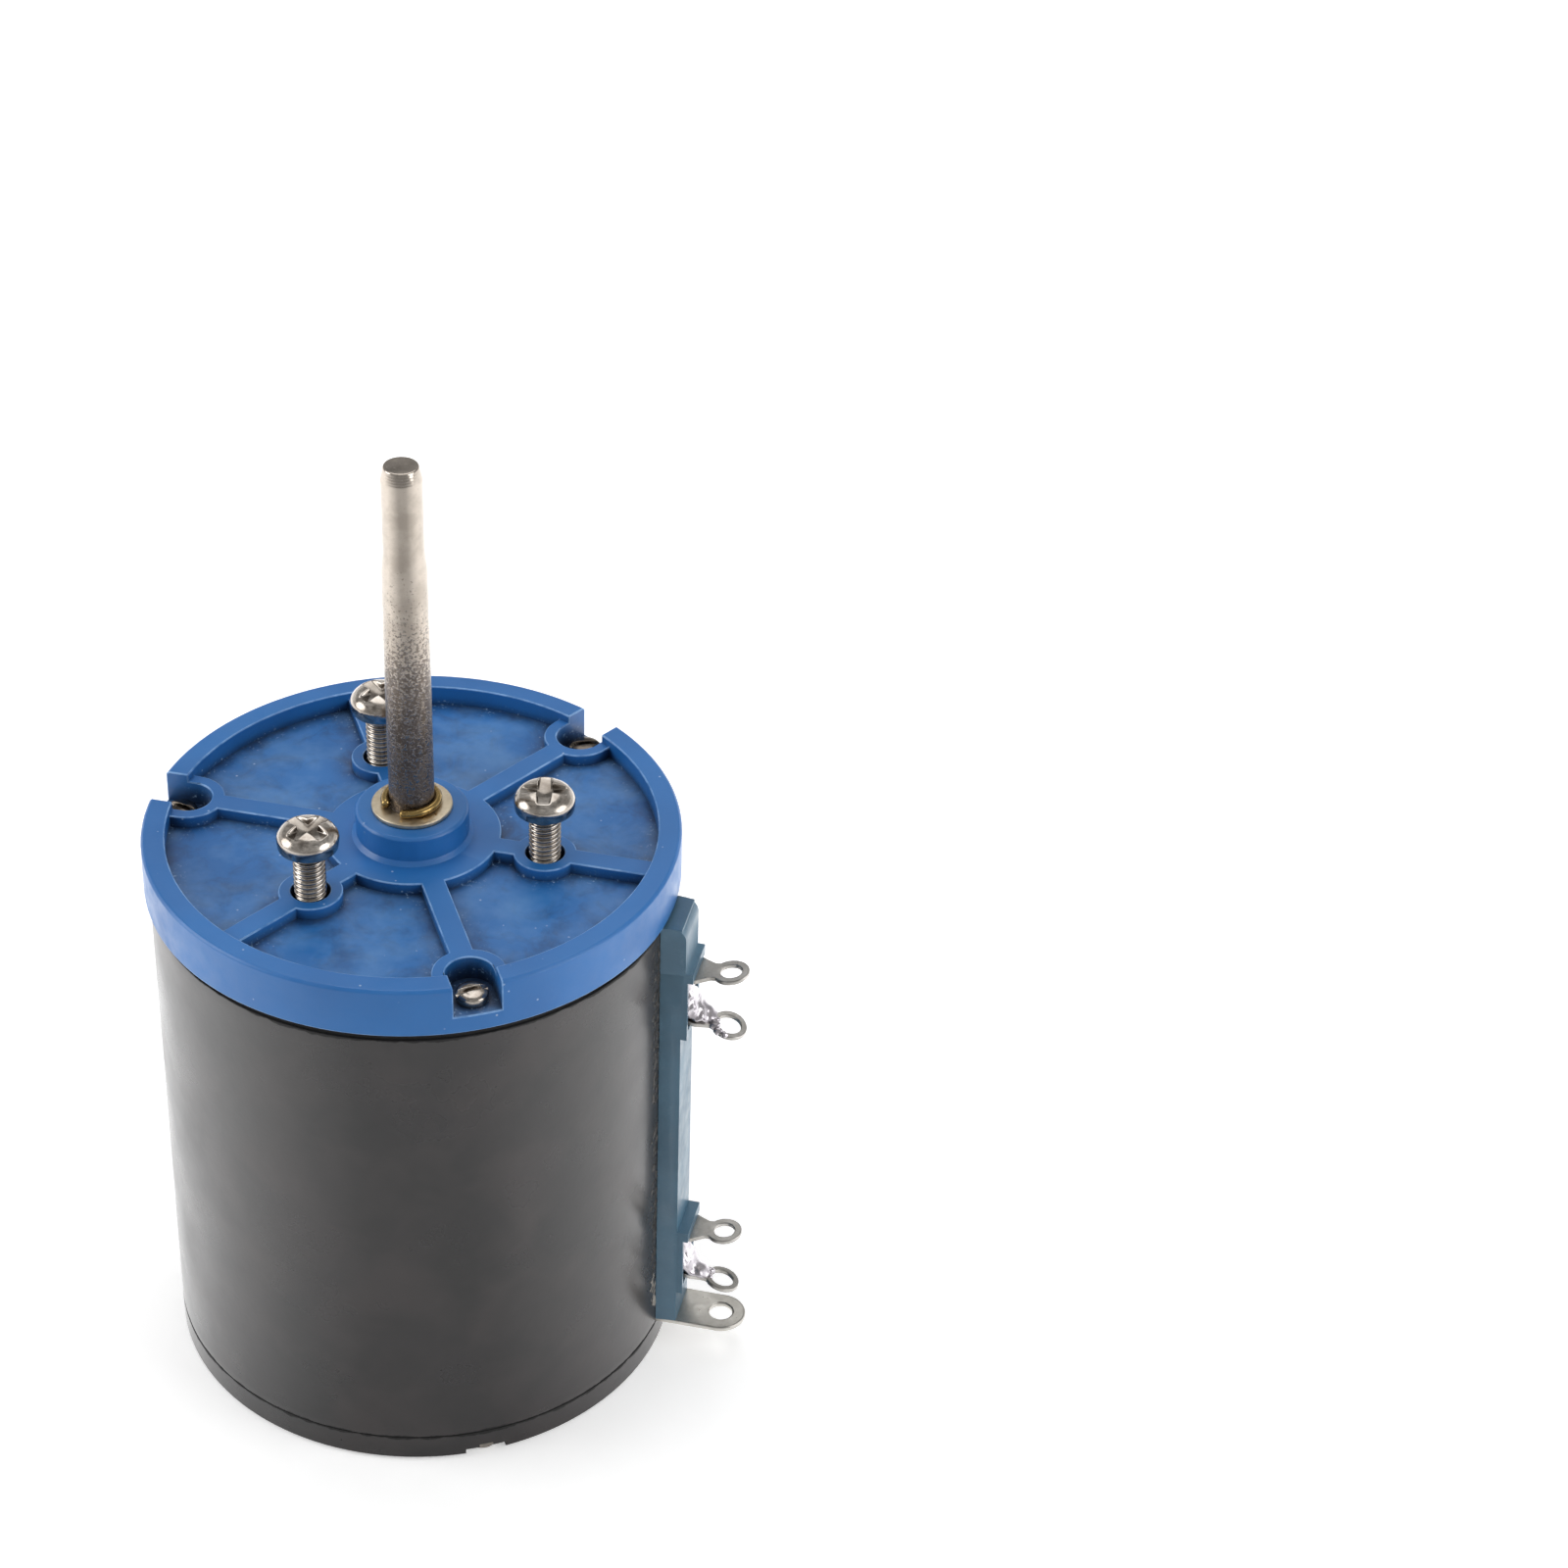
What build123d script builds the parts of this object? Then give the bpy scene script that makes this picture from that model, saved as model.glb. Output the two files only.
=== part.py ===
from build123d import *
from math import cos, degrees, radians, sin
import os

# Multiturn wirewound potentiometer, in millimetres. The shaft axis is +Z, the origin is on that
# axis at the rear face, and +X runs from the axis through the terminal strip.

# Turns and travel
turns = 10
pitch = 3.0
travel = turns * pitch

# Fits and clearances
running_gap = 0.03        # shaft in its bushes
sliding_gap = 0.05        # carriage on its rods
seat_gap = 0.02           # fixed piece in its hole
screw_gap = 0.05          # unthreaded screw in its hole
spigot_gap = 0.10         # cover spigots in the tube bore
end_float = 0.05          # axial play of the rotor
bite = 0.5                # how far shapes that are joined run into each other
past = 1.0                # how far a cut runs past a surface

# Housing tube
tube_radius = 24.5
tube_wall = 4.5
bore_radius = tube_radius - tube_wall

# Rear cover
cover_thickness = 3.0
cover_edge_chamfer = 0.45
spigot_depth = 2.0
spigot_wall = 2.4
label_margin = 4.3        # label's edge to the cover's edge
label_gap = 0.1
label_thickness = 0.25
rear_boss_radius = 5.5
rear_bush_floor = 1.5     # solid left under the rear bush
counterbore_radius = 1.9
counterbore_depth = 1.3
rear_notch_width = 4.0    # opens each counterbore to the cover's side
rear_notch_depth = 0.95

# Front cap
cap_overhang = 0.5
cap_thickness = 5.0
cap_edge_chamfer = 0.25
rim_width = 2.2
rib_drop = 0.8            # ribs and hub lie this far under the rim
pocket_depth = 2.0        # pocket floors lie this far under the rim
rib_width = 2.2
hub_radius = 8.2
boss_radius = 5.25
boss_height = 2.9
boss_foot_chamfer = 0.4
boss_edge_chamfer = 0.25
notch_width = 4.4
notch_back = 3.0          # notch's inner end to the case screw's centre
notch_wall = 1.2
notch_depth = 3.2
inner_boss_radius = 6.5

# Panel mounting screws, three on a circle, in line with three of the ribs
mount_count = 3
mount_circle_radius = 12.7
mount_screw_radius = 1.5
mount_screw_length = 11.4
mount_head_radius = 2.85
mount_head_height = 2.3
mount_head_standoff = 5.0
mount_screw_lifts = [0.0, 0.4, 0.0]
mount_boss_radius = 2.95
mount_hole_radius = 1.8
insert_radius = 2.3
insert_length = 4.6
insert_boss_radius = 3.4
insert_boss_depth = 2.4
mount_edge_share = 0.45   # straight part of the head's height
mount_crown_radius = 2.05 # where the head's edge turns into its crown
mount_crown_share = 0.85
mount_tip_chamfer = 0.4
mount_head_turn = 20.0
cross_recess_width = 0.75
cross_recess_span = 3.4
cross_recess_depth = 1.2
cross_floor_width = 0.45
cross_floor_span = 1.2

# Case screws, three at each end, between the mounting screws
case_screw_inset = 1.8    # from the tube's surface
case_screw_radius = 0.95
case_screw_length = 8.0
case_head_radius = 1.65
case_head_height = 1.2
case_head_chamfer = 0.3
case_slot_width = 0.45
case_slot_depth = 0.5
case_hole_spare = 0.6     # tapped holes run this much deeper than the screws
front_slot_turn = 35.0    # from one screw's slot to the next
rear_slot_turn = 50.0

# Shaft and what sits on it
shaft_radius = 2.1
shaft_end_radius = 1.9
shaft_end_length = 10.6
shaft_taper_length = 2.0
shaft_reach = 38.6        # from the cap's rim to the tip
shaft_tip_inset = 0.32
shaft_tip_length = 1.25
shaft_tail_chamfer = 0.3
shaft_tail_gap = 0.2
washer_radius = 3.75
washer_thickness = 0.45
ring_wire_radius = 0.45
ring_wire_sides = 6
ring_groove_depth = 0.15
ring_gap_angle = 36.0
ring_gap_direction = 244.0
thrust_washer_radius = 3.8
thrust_washer_thickness = 0.4

# Bearing bushes
bush_radius = 3.1
bush_flange_radius = 4.5
bush_flange_thickness = 0.8

# Rotor
plate_gap = 2.05          # inside the element
plate_thickness = 2.5
plate_hub_radius = 6.2
plate_hub_length = 4.0
set_screw_radius = 1.2
rod_radius = 1.0
rod_circle_radius = 11.5
rod_half_angle = 30.0
slip_ring_inner_radius = 7.0
slip_ring_outer_radius = 9.5
slip_ring_thickness = 0.8
slip_ring_tab_width = 2.6
brush_room = 4.3          # between the rear cover's floor and the slip ring
rear_boss_gap = 0.5

# Carriage and its contacts
carriage_half_height = 2.0
carriage_rear_gap = 1.27
carriage_front_gap = 0.33
carriage_inner_wall = 1.56 # block inside and outside the rods' centres
carriage_outer_wall = 3.64
carriage_half_width = 8.0
carriage_corner = 1.2
nose_gap = 1.75           # inside the element
nose_half_width = 2.9
tooth_near_y = -1.0
tooth_far_y = -2.6
tooth_thickness = 1.0
tooth_bore_gap = 0.7
contact_sheet = 0.25
contact_half_width = 0.45
contact_gap = 0.17
contact_base_length = 3.4
contact_bend_reach = 0.4  # past the block's nose, where the arm turns down
contact_knee = 1.2        # above the tip
contact_tail = 0.7        # below the tip
contact_knee_set = 0.15
contact_tail_set = 0.3
contact_screw_set = 1.8   # inside the block's nose
contact_screw_y = 1.4
contact_screw_radius = 0.5
contact_head_radius = 0.95
contact_head_height = 0.5
contact_screw_length = 2.4
collector_eye_radius = 2.1

# Resistance element, a wound rod bent into a helix against the bore
element_gap = 0.05
element_radial = 1.6
element_axial = 1.2
element_end_angle = 4.0
lead_radius = 0.3
lead_hole_gap = 0.1
lead_offset_y = 0.9

# Stop pins that meet the carriage's teeth at the ends of the travel
stop_radius = 1.0
stop_reach = 1.5          # out of the bore wall
stop_seat = 2.5           # into the bore wall
stop_tooth_gap = 0.3

# Terminal strip
strip_half_base = 2.75
strip_half_face = 2.45
strip_height = 1.9        # its face above the tube
strip_cap_drop = 0.5      # its end below the cap
strip_gap = 0.04
strip_head_extra = 0.4
strip_head_round = 1.3
ridge_height = 1.1
ridge_thickness = 1.1
frame_height = 0.6        # raised frame round each pocket
frame_end = 0.85
pocket_half_width = 2.0
pocket_floor = 1.1        # strip left under a pocket
pocket_tail = 0.65        # pocket beyond the rear ear

# Terminals
terminal_sheet = 0.45
terminal_half_width = 1.85
ear_spacing = 5.1         # between the roots of a terminal's two ears
ear_reach = 6.1           # eye centre from the tube's surface
eye_radius = 1.7
eye_hole_radius = 1.0
neck_half_width = 1.1
neck_flare = 1.0          # from the full width down to the neck
front_ear_tilt = 6.0
rear_ear_tilt = 10.0
front_ear_above_lead = 2.2
rear_ear_above_lead = 0.05
solder_half_width = 1.2
solder_rise = 4.0         # up the back plate
solder_run = 3.4          # along the rear ear
solder_plate_layer = 0.8
solder_ear_layer = 0.5
solder_hollow = 0.6

# Wiper terminal and the brush that feeds it
lug_half_width = 2.45
lug_thickness = 0.5
lug_reach = 5.95          # hole's centre from the tube's surface
lug_inner_x = 10.0
lug_hole_radius = 1.15
lug_slot_gap = 0.05
brush_sheet = 0.25
brush_half_width = 1.2
brush_base_outer_x = 15.5
brush_base_inner_x = 11.6
brush_tip_gap = 0.1
brush_crown_half = 0.4
brush_tip_length = 0.5
brush_tip_drop = 0.6
rivet_x = 13.6
rivet_radius = 0.6
rivet_head_radius = 1.1
rivet_head_height = 0.4

# Levels along the axis, worked out from the rear face to the shaft's tip
tube_bottom = cover_thickness
slip_ring_bottom = tube_bottom + brush_room
rear_plate_bottom = slip_ring_bottom + slip_ring_thickness
rear_boss_top = rear_plate_bottom - rear_boss_gap
rear_plate_top = rear_plate_bottom + plate_thickness
contact_rear_z = rear_plate_top + carriage_rear_gap + carriage_half_height
contact_front_z = contact_rear_z + travel
carriage_top = carriage_half_height + 2 * contact_sheet + contact_head_height
front_plate_bottom = contact_front_z + carriage_top + carriage_front_gap
front_plate_top = front_plate_bottom + plate_thickness
thrust_washer_bottom = front_plate_top + end_float
bush_flange_bottom = thrust_washer_bottom + thrust_washer_thickness + end_float
inner_boss_bottom = bush_flange_bottom + bush_flange_thickness
tube_top = inner_boss_bottom + spigot_depth
cap_top = tube_top + cap_thickness
rib_plane = cap_top - rib_drop
pocket_plane = cap_top - pocket_depth
boss_top = rib_plane + boss_height
shaft_tip = cap_top + shaft_reach
washer_top = boss_top + washer_thickness
ring_centre_z = washer_top + end_float + ring_wire_radius
mount_head_bottom = rib_plane + mount_head_standoff

# Radii worked out from the tube and its bore
cap_radius = tube_radius + cap_overhang
case_circle_radius = tube_radius - case_screw_inset
notch_inner_radius = case_circle_radius - notch_back
label_radius = tube_radius - label_margin
spigot_radius = bore_radius - spigot_gap
spigot_inner_radius = spigot_radius - spigot_wall
element_outer_radius = bore_radius - element_gap
element_radius = element_outer_radius - element_radial / 2
element_inner_radius = element_outer_radius - element_radial
plate_radius = element_inner_radius - plate_gap
rod_x = rod_circle_radius * cos(radians(rod_half_angle))
carriage_inner_x = rod_x - carriage_inner_wall
carriage_outer_x = rod_x + carriage_outer_wall
nose_outer_x = element_inner_radius - nose_gap
contact_base_x = nose_outer_x - contact_base_length
contact_screw_x = nose_outer_x - contact_screw_set
tooth_tip_radius = bore_radius - tooth_bore_gap
stop_inner_radius = bore_radius - stop_reach
stop_outer_radius = bore_radius + stop_seat
ring_centre_radius = shaft_radius - ring_groove_depth + running_gap + ring_wire_radius
strip_face_x = tube_radius + strip_height
lug_end_x = tube_radius + lug_reach

# Angles
mount_angles = [360 / mount_count * i for i in range(mount_count)]
case_angles = [angle + 180 / mount_count for angle in mount_angles]
rib_angles = sorted(mount_angles + case_angles)


def polar(radius, angle, z=0.0):
    """A point at a radius and an angle about the shaft axis."""
    return (radius * cos(radians(angle)), radius * sin(radians(angle)), z)


def rod(radius, bottom, top, centre=(0, 0)):
    """A cylinder along Z between two levels."""
    body = Cylinder(radius, top - bottom, align=(Align.CENTER, Align.CENTER, Align.MIN))
    return Pos(centre[0], centre[1], bottom) * body


def block(low, high):
    """A box between two opposite corners."""
    size = [b - a for a, b in zip(low, high)]
    return Pos(*low) * Box(*size, align=(Align.MIN, Align.MIN, Align.MIN))


def cross_rod(radius, inner, outer, y, z):
    """A cylinder along X between two distances from the axis."""
    body = Cylinder(radius, outer - inner, align=(Align.CENTER, Align.CENTER, Align.MIN))
    return Pos(inner, y, z) * Rot(0, 90, 0) * body


def around(shape, angles):
    """Copies of a shape turned about the shaft axis."""
    return [Rot(0, 0, angle) * shape for angle in angles]


def slab(sketch, bottom, top):
    """A flat sketch made solid between two levels."""
    return extrude(Pos(0, 0, bottom) * sketch, amount=top - bottom)


# Front cap

def notch_sketch(width, inner_radius):
    """A radial slot with a round inner end that runs out past the rim."""
    half = width / 2
    centre_x = inner_radius + half
    outer_x = cap_radius + past
    bar = Pos((centre_x + outer_x) / 2, 0) * Rectangle(outer_x - centre_x, width)
    return Pos(centre_x, 0) * Circle(half) + bar


def cap_web_sketch():
    """What stays at rib height: hub, ribs, screw bosses and the walls of the notches."""
    web = Circle(hub_radius)
    wall = notch_sketch(notch_width + 2 * notch_wall, notch_inner_radius - notch_wall)
    for turned in around(wall, case_angles):
        web += turned
    rib = Pos(cap_radius / 2, 0) * Rectangle(cap_radius, rib_width)
    for turned in around(rib, rib_angles):
        web += turned
    for turned in around(Pos(mount_circle_radius, 0) * Circle(mount_boss_radius), mount_angles):
        web += turned
    return web


def front_cap():
    """Moulded cap: rim, sunk ribs, bearing boss, screw bosses and walled notches for the case screws."""
    inner = Circle(cap_radius - rim_width)
    pockets = inner - cap_web_sketch()
    cap = rod(cap_radius, tube_top, cap_top)
    cap = chamfer(cap.edges().group_by(Axis.Z)[-1], cap_edge_chamfer)
    cap -= slab(inner, rib_plane, cap_top + past)
    cap -= slab(pockets, pocket_plane, rib_plane + past)
    boss = rod(boss_radius, rib_plane, boss_top)
    boss = chamfer(boss.edges().group_by(Axis.Z)[-1], boss_edge_chamfer)
    foot_radius = boss_radius + boss_foot_chamfer
    foot = Cone(foot_radius, boss_radius, boss_foot_chamfer, align=(Align.CENTER, Align.CENTER, Align.MIN))
    cap += [boss, Pos(0, 0, rib_plane) * foot]
    spigot = rod(spigot_radius, tube_top - spigot_depth, tube_top + bite)
    spigot -= rod(spigot_inner_radius, tube_top - spigot_depth - past, tube_top)
    cap += [spigot, rod(inner_boss_radius, inner_boss_bottom, tube_top + bite)]
    insert_bottom = tube_top - insert_boss_depth
    insert_top = insert_bottom + insert_length
    for x, y, _ in (polar(mount_circle_radius, angle) for angle in mount_angles):
        cap += rod(insert_boss_radius, insert_bottom, tube_top + bite, (x, y))
        cap -= rod(insert_radius + seat_gap, insert_bottom - past, insert_top, (x, y))
        cap -= rod(mount_hole_radius, insert_top - past, cap_top, (x, y))
    notch = slab(notch_sketch(notch_width, notch_inner_radius), cap_top - notch_depth, cap_top + past)
    for turned in around(notch, case_angles):
        cap -= turned
    for x, y, _ in (polar(case_circle_radius, angle) for angle in case_angles):
        cap -= rod(case_screw_radius + screw_gap, tube_top - past, cap_top, (x, y))
    return cap - rod(bush_radius + seat_gap, inner_boss_bottom - past, boss_top + past)


# Housing tube and rear cover

def lug_slot():
    """The flat opening that the wiper terminal passes through."""
    half = lug_half_width + lug_slot_gap
    return block((lug_inner_x, -half, tube_bottom - past),
                 (tube_radius + past, half, tube_bottom + lug_thickness + lug_slot_gap))


def stop_places():
    """Each stop pin's angle and level, beside the tooth that it stops."""
    reach = (stop_inner_radius + tooth_tip_radius) / 2
    front_y = tooth_near_y + stop_tooth_gap + stop_radius
    rear_y = tooth_far_y - stop_tooth_gap - stop_radius
    level = pitch / 2 + stop_radius / 2
    return [(front_y / reach, contact_front_z + level), (rear_y / reach, contact_rear_z - level)]


def stop_cylinder(radius, inner, outer, lean, z):
    """A radial cylinder whose direction leans by an angle in radians."""
    return Rot(0, 0, degrees(lean)) * cross_rod(radius, inner, outer, 0, z)


def lead_levels():
    """Levels of the element's front and rear ends."""
    end_rise = pitch * element_end_angle / 360
    return contact_front_z + end_rise, contact_rear_z - end_rise


def lead_holes():
    """Holes through the tube and the strip for the element's lead wires."""
    front_z, rear_z = lead_levels()
    radius = lead_radius + lead_hole_gap
    outer = tube_radius + pocket_floor
    return [cross_rod(radius, element_radius, outer, lead_offset_y, front_z),
            cross_rod(radius, element_radius, outer, -lead_offset_y, rear_z)]


def housing_tube():
    """Thick moulded tube with tapped ends, a slot for the wiper terminal and pin seats."""
    tube = rod(tube_radius, tube_bottom, tube_top) - rod(bore_radius, tube_bottom - past, tube_top + past)
    depth = case_screw_length - (cap_thickness - notch_depth) + case_hole_spare
    rear_depth = case_screw_length - (cover_thickness - counterbore_depth) + case_hole_spare
    for x, y, _ in (polar(case_circle_radius, angle) for angle in case_angles):
        tube -= rod(case_screw_radius + screw_gap, tube_top - depth, tube_top + past, (x, y))
        tube -= rod(case_screw_radius + screw_gap, tube_bottom - past, tube_bottom + rear_depth, (x, y))
    tube -= lug_slot()
    for hole in lead_holes():
        tube -= hole
    for lean, z in stop_places():
        tube -= stop_cylinder(stop_radius + seat_gap, stop_inner_radius, stop_outer_radius, lean, z)
    return tube


def rear_cover():
    """Moulded rear cover: label recess, screw counterbores, spigot and bearing boss."""
    cover = rod(tube_radius, 0, cover_thickness)
    cover = chamfer(cover.edges().group_by(Axis.Z)[0], cover_edge_chamfer)
    cover -= rod(label_radius + label_gap, -past, label_thickness)
    spigot = rod(spigot_radius, cover_thickness - bite, cover_thickness + spigot_depth)
    spigot -= rod(spigot_inner_radius, cover_thickness, cover_thickness + spigot_depth + past)
    cover += [spigot, rod(rear_boss_radius, cover_thickness - bite, rear_boss_top)]
    cover -= rod(bush_radius + seat_gap, rear_bush_floor, rear_boss_top + past)
    notch = slab(notch_sketch(rear_notch_width, case_circle_radius - rear_notch_width / 2), -past, rear_notch_depth)
    for turned in around(notch, case_angles):
        cover -= turned
    for x, y, _ in (polar(case_circle_radius, angle) for angle in case_angles):
        cover -= rod(counterbore_radius, -past, counterbore_depth, (x, y))
        cover -= rod(case_screw_radius + screw_gap, 0, cover_thickness + past, (x, y))
    half = lug_half_width + lug_slot_gap
    return cover - block((lug_inner_x, -half, cover_thickness), (tube_radius + past, half, rear_boss_top))


def rating_label():
    """Round label that fills the recess in the rear face."""
    return rod(label_radius, 0, label_thickness)


# Screws, inserts and stops

def mounting_screw(lift):
    """Pan-head machine screw with a cross recess, partly screwed in."""
    bottom = mount_head_bottom + lift
    top = bottom + mount_head_height
    edge = (mount_head_radius, bottom + mount_head_height * mount_edge_share)
    crown = (mount_crown_radius, bottom + mount_head_height * mount_crown_share)
    outline = Polyline((0, bottom), (mount_head_radius, bottom), edge, crown, (0, top), close=True)
    head = revolve(Plane.XZ * make_face(outline), Axis.Z, 360)
    floor = Pos(0, 0, top - cross_recess_depth) * Rectangle(cross_floor_span, cross_floor_width)
    mouth = Pos(0, 0, top) * Rectangle(cross_recess_span, cross_recess_width)
    wing = loft([floor, mouth], ruled=True)
    shank = rod(mount_screw_radius, bottom - mount_screw_length, bottom)
    shank = chamfer(shank.edges().group_by(Axis.Z)[0], mount_tip_chamfer)
    return head - wing - Rot(0, 0, 90) * wing + shank


def mounting_screws():
    """The three panel screws."""
    place = Pos(mount_circle_radius, 0, 0) * Rot(0, 0, mount_head_turn)
    return [Rot(0, 0, angle) * place * mounting_screw(lift)
            for angle, lift in zip(mount_angles, mount_screw_lifts)]


def mounting_inserts():
    """Brass inserts that take the panel screws."""
    bottom = tube_top - insert_boss_depth
    body = rod(insert_radius, bottom, bottom + insert_length)
    body -= rod(mount_screw_radius + screw_gap, bottom - past, bottom + insert_length + past)
    return [Pos(*polar(mount_circle_radius, angle)) * body for angle in mount_angles]


def case_screw():
    """Slotted cheese-head screw, head up, its seat at z = 0."""
    head = rod(case_head_radius, 0, case_head_height)
    head = chamfer(head.edges().group_by(Axis.Z)[-1], case_head_chamfer)
    half = case_slot_width / 2
    reach = case_head_radius + past
    head -= block((-reach, -half, case_head_height - case_slot_depth), (reach, half, case_head_height + past))
    return head + rod(case_screw_radius, -case_screw_length, 0)


def front_cap_screws():
    """The three case screws that hold the cap."""
    seat = cap_top - notch_depth
    return [Pos(*polar(case_circle_radius, angle, seat)) * Rot(0, 0, front_slot_turn * i) * case_screw()
            for i, angle in enumerate(case_angles)]


def rear_cover_screws():
    """The three case screws that hold the rear cover."""
    seat = counterbore_depth
    return [Pos(*polar(case_circle_radius, angle, seat)) * Rot(180, 0, rear_slot_turn * i) * case_screw()
            for i, angle in enumerate(case_angles)]


def stop_pins():
    """Radial pins pressed into the bore wall at the two ends of the travel."""
    return [stop_cylinder(stop_radius, stop_inner_radius, stop_outer_radius, lean, z)
            for lean, z in stop_places()]


# Bearings, shaft and what sits on it

def bush_bore():
    """Radius of the bore that the shaft runs in."""
    return shaft_radius + running_gap


def front_bearing_bush():
    """Flanged brass bush through the cap's boss."""
    bush = rod(bush_radius, inner_boss_bottom, boss_top)
    bush += rod(bush_flange_radius, bush_flange_bottom, inner_boss_bottom)
    return bush - rod(bush_bore(), bush_flange_bottom - past, boss_top + past)


def rear_bearing_bush():
    """Plain brass bush in the rear cover's boss."""
    return rod(bush_radius, rear_bush_floor, rear_boss_top) - rod(bush_bore(), 0, rear_boss_top + past)


def shaft():
    """Steel shaft with a groove for the retaining ring and a ground end."""
    tail = rear_bush_floor + shaft_tail_gap
    groove_radius = shaft_radius - ring_groove_depth
    shoulder = shaft_tip - shaft_end_length
    outline = [(0, tail), (shaft_radius - shaft_tail_chamfer, tail), (shaft_radius, tail + shaft_tail_chamfer),
               (shaft_radius, ring_centre_z - ring_wire_radius), (groove_radius, ring_centre_z - ring_wire_radius),
               (groove_radius, ring_centre_z + ring_wire_radius), (shaft_radius, ring_centre_z + ring_wire_radius),
               (shaft_radius, shoulder), (shaft_end_radius, shoulder + shaft_taper_length),
               (shaft_end_radius, shaft_tip - shaft_tip_length), (shaft_end_radius - shaft_tip_inset, shaft_tip),
               (0, shaft_tip)]
    return revolve(Plane.XZ * make_face(Polyline(*outline, close=True)), Axis.Z, 360)


def retaining_ring():
    """Open ring of brass wire snapped into the shaft's groove."""
    wire = Plane.XZ * Pos(ring_centre_radius, ring_centre_z) * RegularPolygon(ring_wire_radius, ring_wire_sides)
    ring = revolve(wire, Axis.Z, 360 - ring_gap_angle)
    return Rot(0, 0, ring_gap_direction + ring_gap_angle / 2) * ring


def shaft_washer():
    """Washer between the retaining ring and the boss."""
    return rod(washer_radius, boss_top, washer_top) - rod(bush_bore(), boss_top - past, washer_top + past)


def thrust_washer():
    """Washer between the front bush and the rotor."""
    top = thrust_washer_bottom + thrust_washer_thickness
    return rod(thrust_washer_radius, thrust_washer_bottom, top) - rod(bush_bore(), front_plate_top, top + past)


# Rotor

def rod_places():
    """Where the guide rod and the collector rod stand."""
    return [polar(rod_circle_radius, side * rod_half_angle)[:2] for side in (-1, 1)]


def rotor_plate(bottom, hub_bottom, hub_top):
    """Moulded plate and hub on the shaft, with seats for the rods and a set screw."""
    plate = rod(plate_radius, bottom, bottom + plate_thickness)
    plate += rod(plate_hub_radius, hub_bottom, hub_top)
    plate -= rod(shaft_radius + seat_gap, hub_bottom - past, hub_top + past)
    for place in rod_places():
        plate -= rod(rod_radius + seat_gap, bottom - past, bottom + plate_thickness + past, place)
    return plate


def hub_screw_levels():
    """Levels of the set screws in the front and rear hubs."""
    return front_plate_bottom - plate_hub_length / 2, rear_plate_top + plate_hub_length / 2


def hub_screw(radius, z):
    """A set screw, or its hole, from the shaft out through the hub."""
    return cross_rod(radius, -plate_hub_radius, -shaft_radius - seat_gap, 0, z)


def rotor_front_plate():
    """Front plate of the rotor, its hub towards the carriage."""
    plate = rotor_plate(front_plate_bottom, front_plate_bottom - plate_hub_length, front_plate_top)
    return plate - hub_screw(set_screw_radius + seat_gap, hub_screw_levels()[0])


def rotor_rear_plate():
    """Rear plate of the rotor, which carries the slip ring."""
    plate = rotor_plate(rear_plate_bottom, rear_plate_bottom, rear_plate_top + plate_hub_length)
    return plate - hub_screw(set_screw_radius + seat_gap, hub_screw_levels()[1])


def hub_set_screws():
    """Headless screws that lock the rotor plates to the shaft."""
    return [hub_screw(set_screw_radius, z) for z in hub_screw_levels()]


def rotor_rod(place):
    """A rod held by both rotor plates."""
    return rod(rod_radius, rear_plate_bottom, front_plate_top, place)


def slip_ring():
    """Brass ring under the rear plate, with a tab under the collector rod."""
    ring = Circle(slip_ring_outer_radius)
    reach = rod_circle_radius + slip_ring_tab_width / 2
    tab = Pos(reach / 2, 0) * Rectangle(reach, slip_ring_tab_width)
    ring += Rot(0, 0, rod_half_angle) * tab
    ring -= Circle(slip_ring_inner_radius)
    return slab(ring, slip_ring_bottom, rear_plate_bottom)


# Carriage, drawn at the front end of its travel

def wiper_carriage():
    """Moulded block that slides on the rods and is led along the helix by two teeth."""
    depth = carriage_outer_x - carriage_inner_x
    body = RectangleRounded(depth, 2 * carriage_half_width, carriage_corner)
    body = Pos(carriage_inner_x + depth / 2, 0) * body
    nose_length = nose_outer_x - carriage_inner_x
    body += Pos(carriage_inner_x + nose_length / 2, 0) * Rectangle(nose_length, 2 * nose_half_width)
    for place in rod_places():
        body -= Pos(*place) * Circle(rod_radius + sliding_gap)
    low = contact_front_z - carriage_half_height
    high = contact_front_z + carriage_half_height
    block_shape = slab(body, low, high)
    for side in (-1, 1):
        middle = contact_front_z + side * pitch / 2
        tooth = block((nose_outer_x - bite, tooth_far_y, middle - tooth_thickness / 2),
                      (tooth_tip_radius + past, tooth_near_y, middle + tooth_thickness / 2))
        block_shape += tooth & rod(tooth_tip_radius, low - past, high + past)
    hole_bottom = high + 2 * contact_sheet - contact_screw_length
    return block_shape - rod(contact_screw_radius + seat_gap, hole_bottom, high + past,
                             (contact_screw_x, contact_screw_y))


def contact_hole(bottom, top):
    """The contact screw's clearance through the two springs."""
    return rod(contact_screw_radius + screw_gap, bottom, top, (contact_screw_x, contact_screw_y))


def collector_contact():
    """Sheet spring on top of the block, with an eye round the collector rod."""
    eye_x, eye_y = rod_places()[1]
    bottom = contact_front_z + carriage_half_height
    outline = Polyline((contact_base_x, 0), (nose_outer_x, 0), (nose_outer_x, nose_half_width),
                       (eye_x, eye_y + collector_eye_radius), (eye_x, eye_y - collector_eye_radius),
                       (contact_base_x, nose_half_width), close=True)
    sheet = make_face(outline) + Pos(eye_x, eye_y) * Circle(collector_eye_radius)
    sheet -= Pos(eye_x, eye_y) * Circle(rod_radius + sliding_gap)
    return slab(sheet, bottom, bottom + contact_sheet) - contact_hole(bottom - past, bottom + past)


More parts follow.
